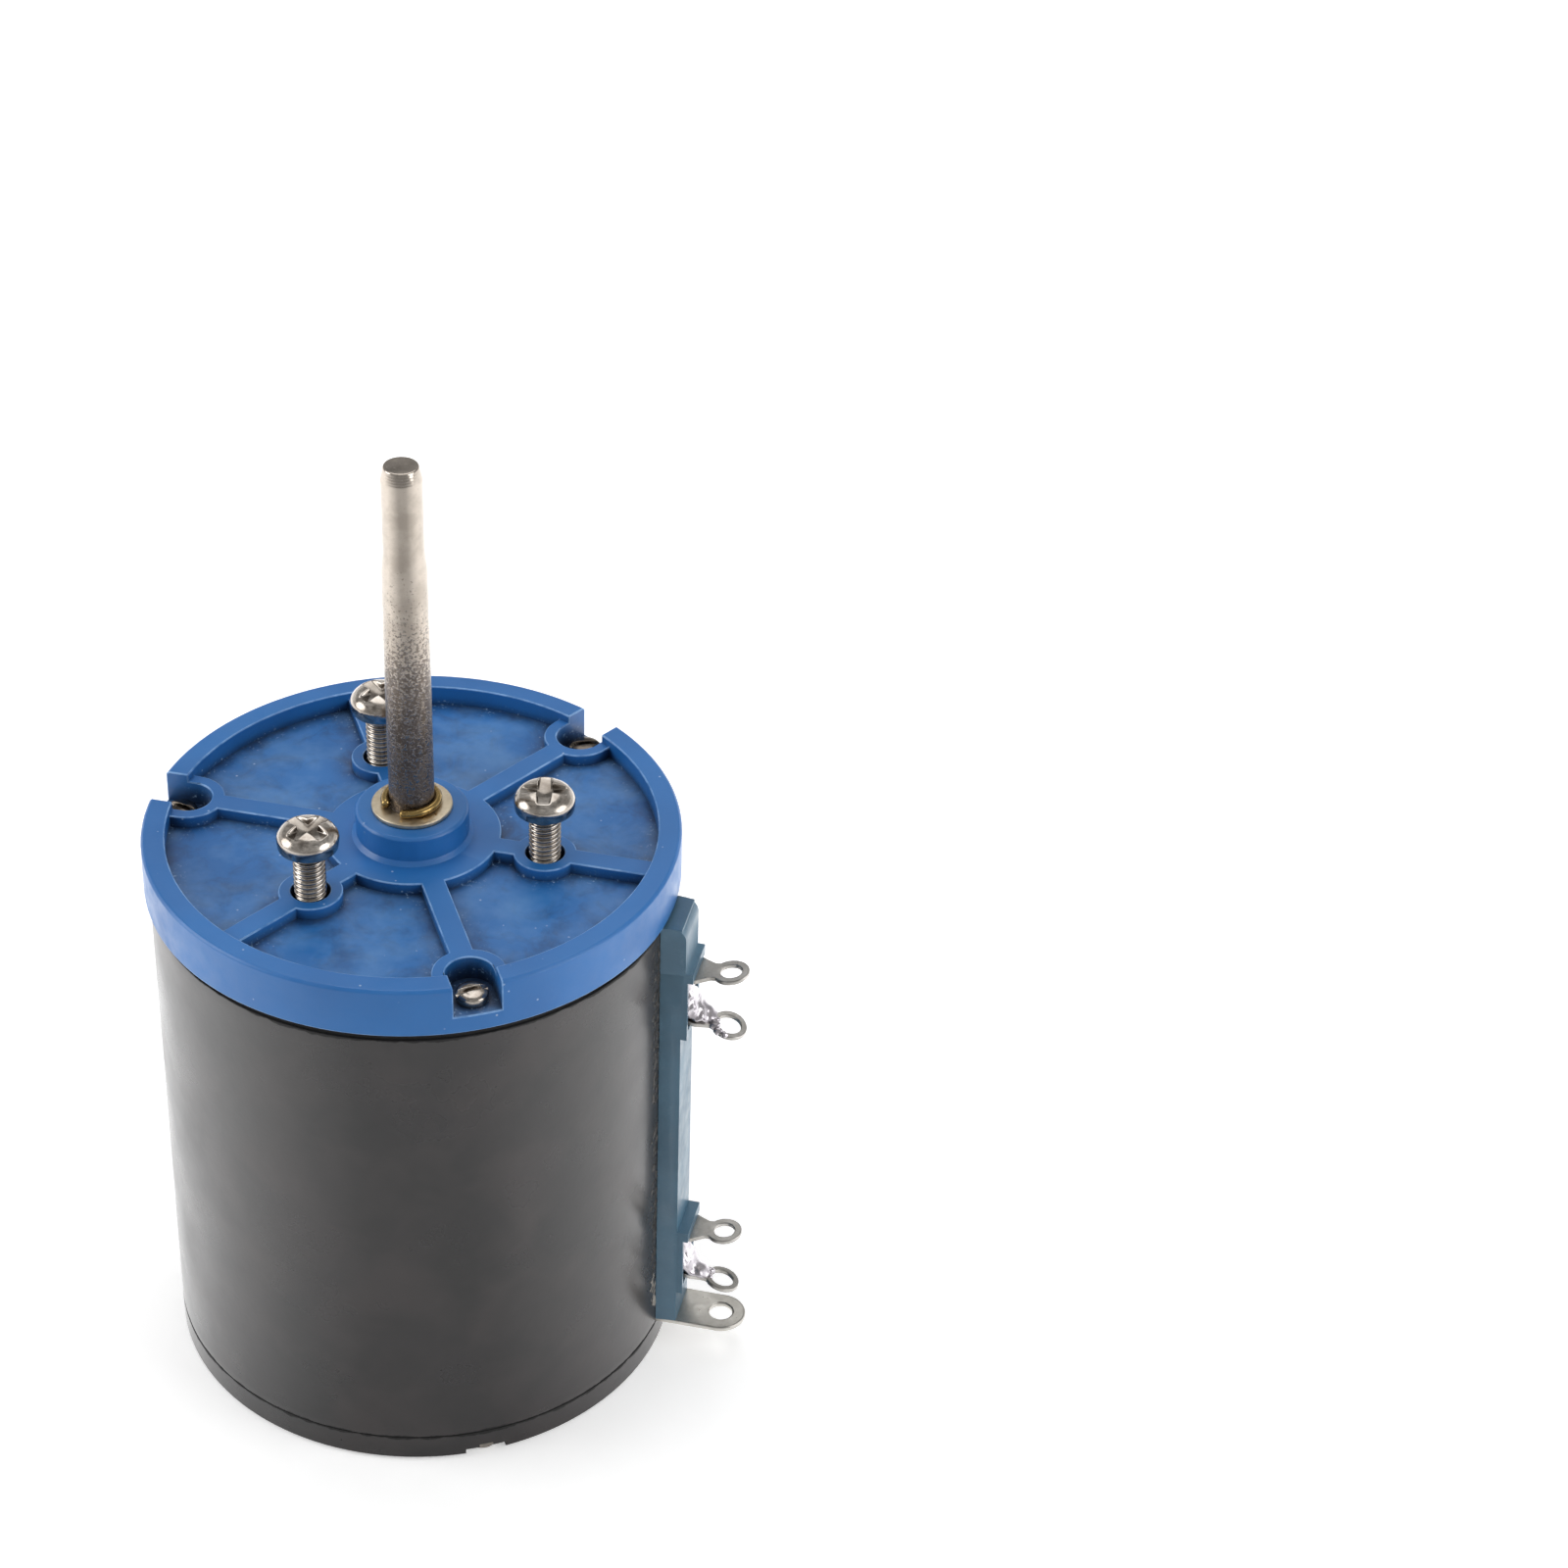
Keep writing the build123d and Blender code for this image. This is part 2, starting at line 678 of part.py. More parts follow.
def wiper_contact():
    """Sheet spring whose arm drops between the teeth to the element's inner face."""
    level = contact_front_z + carriage_half_height + 1.5 * contact_sheet
    tip_x = element_inner_radius - contact_gap - contact_sheet / 2
    path = Polyline((contact_base_x, level), (nose_outer_x + contact_bend_reach, level),
                    (tip_x - contact_knee_set, contact_front_z + contact_knee), (tip_x, contact_front_z),
                    (tip_x - contact_tail_set, contact_front_z - contact_tail))
    arm = extrude(Plane.XZ * trace(path, contact_sheet), amount=contact_half_width, both=True)
    bottom = level - contact_sheet / 2
    base = block((contact_base_x, -contact_half_width, bottom),
                 (nose_outer_x, nose_half_width - contact_half_width, bottom + contact_sheet))
    return arm + base - contact_hole(bottom - past, bottom + past)


def contact_screw():
    """Small screw that clamps both springs to the carriage."""
    seat = contact_front_z + carriage_half_height + 2 * contact_sheet
    place = (contact_screw_x, contact_screw_y)
    head = rod(contact_head_radius, seat, seat + contact_head_height, place)
    return head + rod(contact_screw_radius, seat - contact_screw_length, seat, place)


# Resistance element and its leads

def resistance_element():
    """Wound rod as a right-handed helix that spans the travel and a little more at each end."""
    height = travel + pitch * 2 * element_end_angle / 360
    path = Helix(pitch, height, element_radius)
    section = Plane(origin=path @ 0, z_dir=path % 0, x_dir=(1, 0, 0)) * Rectangle(element_radial, element_axial)
    coil = sweep(section, path=path, is_frenet=True)
    return Pos(0, 0, lead_levels()[1]) * Rot(0, 0, -element_end_angle) * coil


def lead_wire(y, z):
    """Stiff lead from the element out through the tube and the strip to a terminal."""
    inner = element_outer_radius + seat_gap
    outer = tube_radius + pocket_floor
    return cross_rod(lead_radius, inner, outer, y, z)


# Terminal strip and terminals

def ear_levels():
    """Levels where each terminal's front ear leaves its back plate."""
    front_z, rear_z = lead_levels()
    return front_z + front_ear_above_lead, rear_z + rear_ear_above_lead


def strip_section(outer_x):
    """Section across the strip, from inside the tube's surface to its face."""
    inner_x = tube_radius - past
    return make_face(Polyline((inner_x, -strip_half_base), (outer_x, -strip_half_face),
                              (outer_x, strip_half_face), (inner_x, strip_half_base), close=True))


def terminal_strip():
    """Moulded strip along the tube, with a raised frame, a pocket and a ridge for each terminal."""
    bottom = tube_bottom + lug_thickness
    top = tube_top - strip_cap_drop
    strip = slab(strip_section(strip_face_x), bottom, top)
    front_ear = ear_levels()[0]
    head = slab(strip_section(strip_face_x + strip_head_extra), front_ear + ridge_thickness, top)
    outer_edge = head.edges().group_by(Axis.Z)[-1].sort_by(Axis.X)[-1]
    strip += fillet(outer_edge, strip_head_round)
    for ear in ear_levels():
        ridge = ear + terminal_sheet / 2
        tail = ear - ear_spacing - pocket_tail
        strip += block((tube_radius, -strip_half_face, tail - frame_end),
                       (strip_face_x + frame_height, strip_half_face, ridge))
        strip += block((tube_radius, -strip_half_face, ridge),
                       (strip_face_x + ridge_height, strip_half_face, ridge + ridge_thickness))
        strip -= block((tube_radius + pocket_floor, -pocket_half_width, tail),
                       (strip_face_x + ridge_height + past, pocket_half_width, ridge))
    strip -= rod(tube_radius + strip_gap, bottom - past, top + past)
    for hole in lead_holes():
        strip -= hole
    return strip


def ear_plate(reach):
    """Flat solder ear along +X: it narrows to a neck and ends in a round eye with a hole."""
    sketch = make_face(Polyline((0, -terminal_half_width), (neck_flare, -neck_half_width),
                                (reach, -neck_half_width), (reach, neck_half_width),
                                (neck_flare, neck_half_width), (0, terminal_half_width), close=True))
    sketch += Pos(reach, 0) * Circle(eye_radius)
    sketch -= Pos(reach, 0) * Circle(eye_hole_radius)
    return extrude(sketch, amount=terminal_sheet / 2, both=True)


def terminal_root_x():
    """Middle of the back plate's sheet, where the ears bend away from it."""
    return tube_radius + pocket_floor + seat_gap + terminal_sheet / 2


def terminal(ear_z):
    """Stamped terminal: a back plate in the pocket and two solder ears that lean apart."""
    half_sheet = terminal_sheet / 2
    root_x = terminal_root_x()
    rear_root = ear_z - ear_spacing
    bend = strip_face_x + ridge_height - root_x
    tab = block((-half_sheet, -terminal_half_width, -half_sheet), (bend, terminal_half_width, half_sheet))
    ear = ear_plate(tube_radius + ear_reach - root_x - bend)
    plate = block((root_x - half_sheet, -terminal_half_width, rear_root),
                  (root_x + half_sheet, terminal_half_width, ear_z))
    front_ear = Pos(root_x, 0, ear_z) * (tab + Pos(bend, 0, 0) * Rot(0, -front_ear_tilt, 0) * ear)
    rear_ear = Pos(root_x, 0, rear_root) * Rot(0, rear_ear_tilt, 0) * (tab + Pos(bend, 0, 0) * ear)
    return plate + front_ear + rear_ear


def solder_joint(ear_z):
    """Solder that fills the corner between a terminal's back plate and its rear ear."""
    root_x = terminal_root_x()
    root_z = ear_z - ear_spacing
    ear_end = Vector(root_x, 0, root_z) + Vector(solder_run, 0, 0).rotate(Axis.Y, rear_ear_tilt)
    plate_end = Vector(root_x + terminal_sheet / 2, 0, root_z + solder_rise)
    high = plate_end + Vector(solder_plate_layer, 0, 0)
    low = ear_end + Vector(0, 0, solder_ear_layer)
    middle = (high + low) / 2 - Vector(solder_hollow, 0, solder_hollow)
    outline = [Line(low, ear_end), Line(ear_end, (root_x, 0, root_z)), Line((root_x, 0, root_z), plate_end),
               Line(plate_end, high), ThreePointArc(high, middle, low)]
    fill = extrude(make_face(outline), amount=solder_half_width, dir=(0, 1, 0), both=True)
    return fill - terminal(ear_z)


def solder_joints():
    """The solder on both terminals."""
    return [solder_joint(ear) for ear in ear_levels()]


def wiper_terminal():
    """Flat tinned lug that lies on the rear cover and comes out under the strip."""
    top = tube_bottom + lug_thickness
    lug = slab(Pos(lug_end_x, 0) * Circle(lug_half_width), tube_bottom, top)
    lug += block((lug_inner_x + lug_slot_gap, -lug_half_width, tube_bottom), (lug_end_x, lug_half_width, top))
    lug -= rod(lug_hole_radius, tube_bottom - past, top + past, (lug_end_x, 0))
    return lug - rod(rivet_radius + seat_gap, tube_bottom - past, top + past, (rivet_x, 0))


def collector_brush():
    """Spring strip riveted to the lug, its tip under the slip ring."""
    base = tube_bottom + lug_thickness + brush_sheet / 2
    track_x = (slip_ring_inner_radius + slip_ring_outer_radius) / 2
    crown = slip_ring_bottom - brush_tip_gap - brush_sheet / 2
    tip_x = track_x - brush_crown_half
    path = Polyline((brush_base_outer_x, base), (brush_base_inner_x, base), (track_x + brush_crown_half, crown),
                    (tip_x, crown), (tip_x - brush_tip_length, crown - brush_tip_drop))
    strip = extrude(Plane.XZ * trace(path, brush_sheet), amount=brush_half_width, both=True)
    return strip - rod(rivet_radius + seat_gap, tube_bottom, base + past, (rivet_x, 0))


def brush_rivet():
    """Rivet through the brush and the lug."""
    seat = tube_bottom + lug_thickness + brush_sheet
    head = rod(rivet_head_radius, seat, seat + rivet_head_height, (rivet_x, 0))
    return head + rod(rivet_radius, tube_bottom, seat, (rivet_x, 0))


front_lead_z, rear_lead_z = lead_levels()
front_ear_z, rear_ear_z = ear_levels()
guide_place, collector_place = rod_places()

nodes = {
    "front_cap": front_cap(),
    "housing_tube": housing_tube(),
    "rear_cover": rear_cover(),
    "rating_label": rating_label(),
    "mounting_screws": mounting_screws(),
    "mounting_inserts": mounting_inserts(),
    "front_cap_screws": front_cap_screws(),
    "rear_cover_screws": rear_cover_screws(),
    "stop_pins": stop_pins(),
    "front_bearing_bush": front_bearing_bush(),
    "rear_bearing_bush": rear_bearing_bush(),
    "shaft": shaft(),
    "retaining_ring": retaining_ring(),
    "shaft_washer": shaft_washer(),
    "thrust_washer": thrust_washer(),
    "rotor_front_plate": rotor_front_plate(),
    "rotor_rear_plate": rotor_rear_plate(),
    "hub_set_screws": hub_set_screws(),
    "guide_rod": rotor_rod(guide_place),
    "collector_rod": rotor_rod(collector_place),
    "slip_ring": slip_ring(),
    "wiper_carriage": wiper_carriage(),
    "collector_contact": collector_contact(),
    "wiper_contact": wiper_contact(),
    "contact_screw": contact_screw(),
    "resistance_element": resistance_element(),
    "front_lead_wire": lead_wire(lead_offset_y, front_lead_z),
    "rear_lead_wire": lead_wire(-lead_offset_y, rear_lead_z),
    "terminal_strip": terminal_strip(),
    "front_terminal": terminal(front_ear_z),
    "rear_terminal": terminal(rear_ear_z),
    "solder_joints": solder_joints(),
    "wiper_terminal": wiper_terminal(),
    "collector_brush": collector_brush(),
    "brush_rivet": brush_rivet(),
}

os.makedirs("parts", exist_ok=True)
for name, shape in nodes.items():
    solids = shape if isinstance(shape, list) else [shape]
    flat = [solid for item in solids for solid in item.solids()]
    export_step(Compound(flat) if len(flat) > 1 else flat[0], f"parts/{name}.step")
    print(name, len(flat), round(sum(solid.volume for solid in flat), 2))
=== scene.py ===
import bmesh
import bpy
import numpy as np
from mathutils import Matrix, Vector


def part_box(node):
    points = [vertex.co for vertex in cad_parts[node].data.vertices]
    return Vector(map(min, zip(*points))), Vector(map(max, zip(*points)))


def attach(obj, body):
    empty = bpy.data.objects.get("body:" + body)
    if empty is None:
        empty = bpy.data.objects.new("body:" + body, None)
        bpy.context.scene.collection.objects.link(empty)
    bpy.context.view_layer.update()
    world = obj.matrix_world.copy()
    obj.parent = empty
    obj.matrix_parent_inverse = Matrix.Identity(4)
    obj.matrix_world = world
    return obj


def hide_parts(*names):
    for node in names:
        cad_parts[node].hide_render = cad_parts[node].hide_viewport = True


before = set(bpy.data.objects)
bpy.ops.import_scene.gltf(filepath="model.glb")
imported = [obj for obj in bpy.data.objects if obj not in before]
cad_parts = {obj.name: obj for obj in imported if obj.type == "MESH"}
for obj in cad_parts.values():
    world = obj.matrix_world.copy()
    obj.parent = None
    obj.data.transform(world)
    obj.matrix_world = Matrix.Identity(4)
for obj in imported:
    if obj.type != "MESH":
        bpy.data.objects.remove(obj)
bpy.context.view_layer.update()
print("potentiometer: frame loaded with", len(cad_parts), "nodes")

mm = 0.001
fullTurn = 2 * np.pi


# Shape tools. Points are worked out in millimetres and scaled once, in makePiece.

def top(node):  # highest level of a CAD node, in millimetres
    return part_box(node)[1].z / mm


def bottom(node):
    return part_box(node)[0].z / mm


def smoothStep(low, high, x):  # 0 below low, 1 above high, an S between them
    t = np.clip((x - low) / (high - low), 0, 1)
    return t * t * (3 - 2 * t)


def inside(distance, wall):  # 1 inside an outline and 0 outside it, with a wall that is this wide
    return 1 - smoothStep(-wall / 2, wall / 2, distance)


def ripple(seed, size, *axes):  # sum of 14 sine waves in random directions, mostly within -1 to 1
    rng = np.random.default_rng(seed)
    total = 0
    for _ in range(14):
        direction = rng.normal(size=len(axes))
        direction *= fullTurn / (size * rng.uniform(0.6, 1.7)) / np.linalg.norm(direction)
        total = total + np.sin(sum(d * a for d, a in zip(direction, axes)) + rng.uniform(0, fullTurn))
    return total / 4.6


def roundedPath(corners, steps=5):
    # each (x, y, round) corner becomes a quadratic curve that starts and ends one round away from it
    points = [np.array(c[:2], float) for c in corners]
    path = []
    for i, (*_, radius) in enumerate(corners):
        here, before, after = points[i], points[i - 1], points[(i + 1) % len(points)]
        if radius == 0:
            path.append(here[None])
            continue
        a = here + (before - here) * radius / np.linalg.norm(before - here)
        b = here + (after - here) * radius / np.linalg.norm(after - here)
        t = np.linspace(0, 1, steps)[:, None]
        path.append((1 - t) ** 2 * a + 2 * t * (1 - t) * here + t ** 2 * b)
    return np.concatenate(path)


def lathe(profile, columns, closed=False):
    # each profile point (radius, level) turns once about the shaft axis
    turn = np.arange(columns) * fullTurn / columns
    radius, height = profile[:, :1], profile[:, 1:2]
    grid = np.stack(np.broadcast_arrays(radius * np.cos(turn), radius * np.sin(turn), height), axis=-1)
    return grid, closed, True


def sweep(path, radii, columns, seed=0, lump=0.0, lumpSize=1.0, wide=1.0):
    # a round section, or one this many times wider along Y, carried along a path;
    # its radius is changed by ripples in space, and the ends close to points
    path, radii = np.asarray(path, float), np.asarray(radii, float)
    along = np.gradient(path, axis=0)
    along /= np.linalg.norm(along, axis=1)[:, None]
    side = np.cross(along, (0.31, 0.87, 0.38) if wide == 1 else (0, 1, 0))
    side /= np.linalg.norm(side, axis=1)[:, None]
    up = np.cross(along, side) * wide
    turn = (np.arange(columns) * fullTurn / columns)[None, :, None]
    ring = np.cos(turn) * side[:, None] + np.sin(turn) * up[:, None]
    grid = path[:, None] + ring * radii[:, None, None]
    if lump:
        lumps = lump * ripple(seed, lumpSize, *np.moveaxis(grid, -1, 0)) * radii[:, None]
        grid = grid + ring * lumps[..., None]
    ends = np.broadcast_to(path[[0, -1], None], (2, columns, 3))
    return np.concatenate([ends[:1], grid, ends[1:]]), False, True


def curveThrough(points, count):
    # a smooth line through a few points: cubic Hermite pieces with Catmull-Rom slopes
    points = np.asarray(points, float)
    slopes = np.gradient(points, axis=0)
    t = np.linspace(0, len(points) - 1, count)
    i = np.minimum(t.astype(int), len(points) - 2)
    f = (t - i)[:, None]
    return ((2 * f ** 3 - 3 * f ** 2 + 1) * points[i] + (f ** 3 - 2 * f ** 2 + f) * slopes[i]
            + (3 * f ** 2 - 2 * f ** 3) * points[i + 1] + (f ** 3 - f ** 2) * slopes[i + 1])


def turned(surface, degrees, centre=(0, 0, 0), axis=2):
    # a surface turned about a line through centre along X, Y or Z
    angle = np.radians(degrees)
    a, b = [(1, 2), (2, 0), (0, 1)][axis]
    grid = surface[0] - centre
    spun = grid.copy()
    spun[..., a] = grid[..., a] * np.cos(angle) - grid[..., b] * np.sin(angle)
    spun[..., b] = grid[..., a] * np.sin(angle) + grid[..., b] * np.cos(angle)
    return spun + centre, *surface[1:]


def shifted(surface, offset):
    return surface[0] + np.array(offset, float), *surface[1:]


def gridQuads(rows, columns, closeRows, closeColumns, start):
    r, c = np.arange(rows - (not closeRows)), np.arange(columns - (not closeColumns))
    r, c = np.meshgrid(r, c, indexing="ij")
    r2, c2 = (r + 1) % rows, (c + 1) % columns
    quads = np.stack([r * columns + c, r * columns + c2, r2 * columns + c2, r2 * columns + c], axis=-1)
    return quads.reshape(-1, 4) + start


def dress(piece, material, body, replaced):
    piece.data.materials.clear()
    piece.data.materials.append(material)
    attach(piece, body)
    if replaced:
        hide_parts(*replaced)
    return piece


def makePiece(name, surfaces, material, body, replaced=(), marks=None, closed=True):
    # joins surfaces into one mesh; marks are named numbers per point that the material reads
    mesh = bpy.data.meshes.new(name)
    points = np.concatenate([s[0].reshape(-1, 3) for s in surfaces]) * mm
    starts = np.cumsum([0] + [s[0].shape[0] * s[0].shape[1] for s in surfaces])
    quads = np.concatenate([gridQuads(*s[0].shape[:2], s[1], s[2], start)
                            for s, start in zip(surfaces, starts)])
    mesh.vertices.add(len(points))
    mesh.vertices.foreach_set("co", points.ravel().astype(np.float32))
    mesh.loops.add(quads.size)
    mesh.loops.foreach_set("vertex_index", quads.ravel().astype(np.int32))
    mesh.polygons.add(len(quads))
    mesh.polygons.foreach_set("loop_start", np.arange(len(quads), dtype=np.int32) * 4)
    mesh.update(calc_edges=True)
    for markName, values in (marks or {}).items():
        stored = mesh.attributes.new(markName, "FLOAT", "POINT").data
        stored.foreach_set("value", values.ravel().astype(np.float32))
    work = bmesh.new()
    work.from_mesh(mesh)
    bmesh.ops.remove_doubles(work, verts=work.verts, dist=1e-7)  # closes seams and poles
    if closed:
        bmesh.ops.recalc_face_normals(work, faces=work.faces)
    work.to_mesh(mesh)
    work.free()
    mesh.shade_smooth()
    mesh.validate()
    piece = bpy.data.objects.new(name, mesh)
    bpy.context.scene.collection.objects.link(piece)
    return dress(piece, material, body, replaced)


cornerFrom, squareFrom = 32, 60  # degrees of bend where an edge counts as a corner, and as a square one


def roundedCopy(name, node, edge, material, body, edgeMaterial=None, foot=0.0, soft=0.0):
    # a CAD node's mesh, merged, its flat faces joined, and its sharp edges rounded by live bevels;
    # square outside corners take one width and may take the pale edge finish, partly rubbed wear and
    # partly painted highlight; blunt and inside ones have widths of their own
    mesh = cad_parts[node].data.copy()
    mesh.name = name
    work = bmesh.new()
    work.from_mesh(mesh)
    bmesh.ops.remove_doubles(work, verts=work.verts, dist=2e-6)
    bmesh.ops.dissolve_limit(work, angle_limit=np.radians(1.0), verts=work.verts, edges=work.edges)
    work.edges.index_update()
    bend = np.degrees([e.calc_face_angle_signed(0) for e in work.edges])
    work.to_mesh(mesh)
    work.free()
    if mesh.has_custom_normals:
        mesh.normals_split_custom_set([(0, 0, 0)] * len(mesh.loops))
    mesh.shade_smooth()
    mesh.set_sharp_from_angle(angle=np.radians(cornerFrom))
    piece = bpy.data.objects.new(name, mesh)
    bpy.context.scene.collection.objects.link(piece)
    square = squareFrom if soft else cornerFrom
    for corner, width, edges in [("squareCorner", edge, bend > square),
                                 ("insideCorner", foot, bend < -cornerFrom),
                                 ("bluntCorner", soft, (bend > cornerFrom) & (bend <= square))]:
        if width:
            stored = mesh.attributes.new(corner, "FLOAT", "EDGE").data
            stored.foreach_set("value", edges.astype(np.float32))
            bevel = piece.modifiers.new(corner, "BEVEL")
            bevel.width = width * mm
            bevel.segments = 3
            bevel.limit_method = "WEIGHT"
            bevel.edge_weight = corner
            bevel.harden_normals = True
            if edgeMaterial and corner == "squareCorner":
                bevel.material = 1
    dress(piece, material, body, (node,))
    if edgeMaterial:
        mesh.materials.append(edgeMaterial)
    return piece


# Material tools

def linear(hexCode):  # an sRGB colour as linear light
    rgb = np.array([int(hexCode[i:i + 2], 16) for i in (1, 3, 5)]) / 255
    light = np.where(rgb <= 0.04045, rgb / 12.92, ((rgb + 0.055) / 1.055) ** 2.4)
    return (*light.tolist(), 1.0)


def addNode(tree, kind, settings):
    # a socket as a value is linked, a number or colour is set, and anything else is a property of the node
    node = tree.nodes.new("ShaderNode" + kind)
    for key, value in settings.items():
        if isinstance(value, bpy.types.NodeSocket):
            tree.links.new(value, node.inputs[key])
        elif isinstance(key, int) or key in node.inputs:
            node.inputs[key].default_value = value
        else:
            setattr(node, key, value)
    return node


def perMm(size):  # texture scale for features this many millimetres apart, in object metres
    return 1 / (size * mm)


def startMaterial(name, **sockets):
    # a new material, with its shader's constants set on the shader's own sockets
    material = bpy.data.materials.new(name)
    material.use_nodes = True
    tree = material.node_tree
    shader = tree.nodes["Principled BSDF"]
    for key, value in sockets.items():
        shader.inputs[key.replace("_", " ")].default_value = value
    place = addNode(tree, "TexCoord", {}).outputs["Object"]
    return material, tree, shader, place


def noise(tree, place, size, detail=3.0, roughness=0.55, distortion=0.0):
    settings = {"Vector": place, "Scale": perMm(size), "Detail": detail, "Roughness": roughness,
                "Distortion": distortion}
    return addNode(tree, "TexNoise", settings).outputs["Fac"]


def remap(tree, value, low, high, newLow=0.0, newHigh=1.0):
    settings = {"Value": value, "From Min": low, "From Max": high, "To Min": newLow, "To Max": newHigh}
    return addNode(tree, "MapRange", settings).outputs[0]


def mixColour(tree, factor, first, second):
    settings = {"data_type": "RGBA", 0: factor, 6: first, 7: second}
    return addNode(tree, "Mix", settings).outputs[2]


def math(tree, operation, first, second=0.0):
    return addNode(tree, "Math", {"operation": operation, 0: first, 1: second}).outputs[0]


def times(tree, first, second):
    return math(tree, "MULTIPLY", first, second)


def heightOf(tree, vector):  # its part along Z
    return addNode(tree, "SeparateXYZ", {"Vector": vector}).outputs["Z"]


def twoTone(tree, pattern, light, dark, low=0.35, high=0.65):  # a colour that drifts between two tones
    return mixColour(tree, remap(tree, pattern, low, high), linear(light), linear(dark))


def varied(tree, place, size, detail, low, high):  # a roughness that drifts between two values
    return remap(tree, noise(tree, place, size, detail), 0.3, 0.7, low, high)


def mark(tree, name):
    return addNode(tree, "Attribute", {"attribute_name": name}).outputs["Fac"]


def bump(tree, shader, height, depth, after=None):
    # depth is the real height of the pattern in millimetres
    settings = {"Height": height, "Distance": depth * mm}
    if after:
        settings["Normal"] = after
    normal = addNode(tree, "Bump", settings).outputs["Normal"]
    tree.links.new(normal, shader.inputs["Normal"])
    return normal


def feed(tree, shader, **links):
    for key, value in links.items():
        tree.links.new(value, shader.inputs[key.replace("_", " ")])


# Materials

def mouldedAbsBlue(mainFace):
    # satin ABS: clouded blue, stained and dusty in the pockets, with painted shade in the creases and deep
    # hollows;
    # where it isn't the main face it is pale, as on the edges, partly rubbed wear and partly painted
    # highlight
    name = "moulded ABS, blue" if mainFace else "moulded ABS, rubbed and highlit edge"
    material, tree, shader, place = startMaterial(name, Roughness=0.4, IOR=1.53)
    base = twoTone(tree, noise(tree, place, 14, 2), "#2873bb", "#2168ad")
    height = heightOf(tree, place)
    sunk = remap(tree, height, pocketTop * mm, (pocketTop + 0.9) * mm, 1, 0)
    facing = heightOf(tree, addNode(tree, "NewGeometry", {}).outputs["Normal"])
    flat = remap(tree, facing, 0.4, 0.8)
    # painted shade: creases are darkened from their ambient occlusion; the same crease mask also places the
    # crumbs
    crease = addNode(tree, "AmbientOcclusion", {"Distance": 2.2 * mm, "samples": 6}).outputs["AO"]
    crease = remap(tree, crease, 0.55, 0.95, 1, 0)
    stainAndShade = remap(tree, noise(tree, place, 3.2, 5, 0.65, 0.6), 0.46, 0.68, 0.0, 0.5)
    # the real stain on flat floors plus painted shade in the creases, both turning the pockets dark navy
    stainAndShade = math(tree, "ADD", times(tree, stainAndShade, flat), times(tree, crease, 0.8))
    base = mixColour(tree, times(tree, stainAndShade, sunk), base, linear("#213f66"))
    if not mainFace:
        # the pale edges: partly rubbed wear, partly painted highlight
        worn = remap(tree, noise(tree, place, 1.8, 4, 0.6), 0.38, 0.62, 0.2, 0.8)
        base = mixColour(tree, worn, base, linear("#8bb8ea"))
    film = remap(tree, noise(tree, place, 6, 4, 0.6), 0.42, 0.66, 0, 0.4)
    base = mixColour(tree, times(tree, times(tree, film, flat), sunk), base, linear("#6f9fd2"))
    # painted shade: deep hollows such as the notch floors and pocket corners turn dark navy from a wide
    # ambient occlusion
    hollowShade = addNode(tree, "AmbientOcclusion", {"Distance": 5 * mm, "samples": 6}).outputs["AO"]
    base = mixColour(tree, remap(tree, hollowShade, 0.28, 0.55, 0.9, 0), base, linear("#0b1a33"))
    crumbs = remap(tree, noise(tree, place, 0.34, 3, 0.6), 0.60, 0.68, 0, 0.8)
    crumbs = times(tree, crumbs, remap(tree, noise(tree, place, 4.0, 2), 0.44, 0.54))
    crumbs = times(tree, crumbs, times(tree, crease, sunk))
    base = mixColour(tree, crumbs, base, linear("#9fbfdf"))
    flecks = addNode(tree, "TexVoronoi", {"Vector": place, "Scale": perMm(1.5), "Randomness": 1.0})
    fleck = remap(tree, flecks.outputs["Distance"], 0.05, 0.09, 1, 0)
    fleck = times(tree, fleck, remap(tree, noise(tree, place, 5.5, 2), 0.50, 0.54))
    base = mixColour(tree, times(tree, fleck, 0.7), base, linear("#a9c3df"))
    feed(tree, shader, Base_Color=base, Roughness=varied(tree, place, 1.6, 4, 0.30, 0.46))
    after = bump(tree, shader, noise(tree, place, 0.5, 3), 0.010)
    bump(tree, shader, noise(tree, place, 5, 3), 0.05, after=after)
    return material


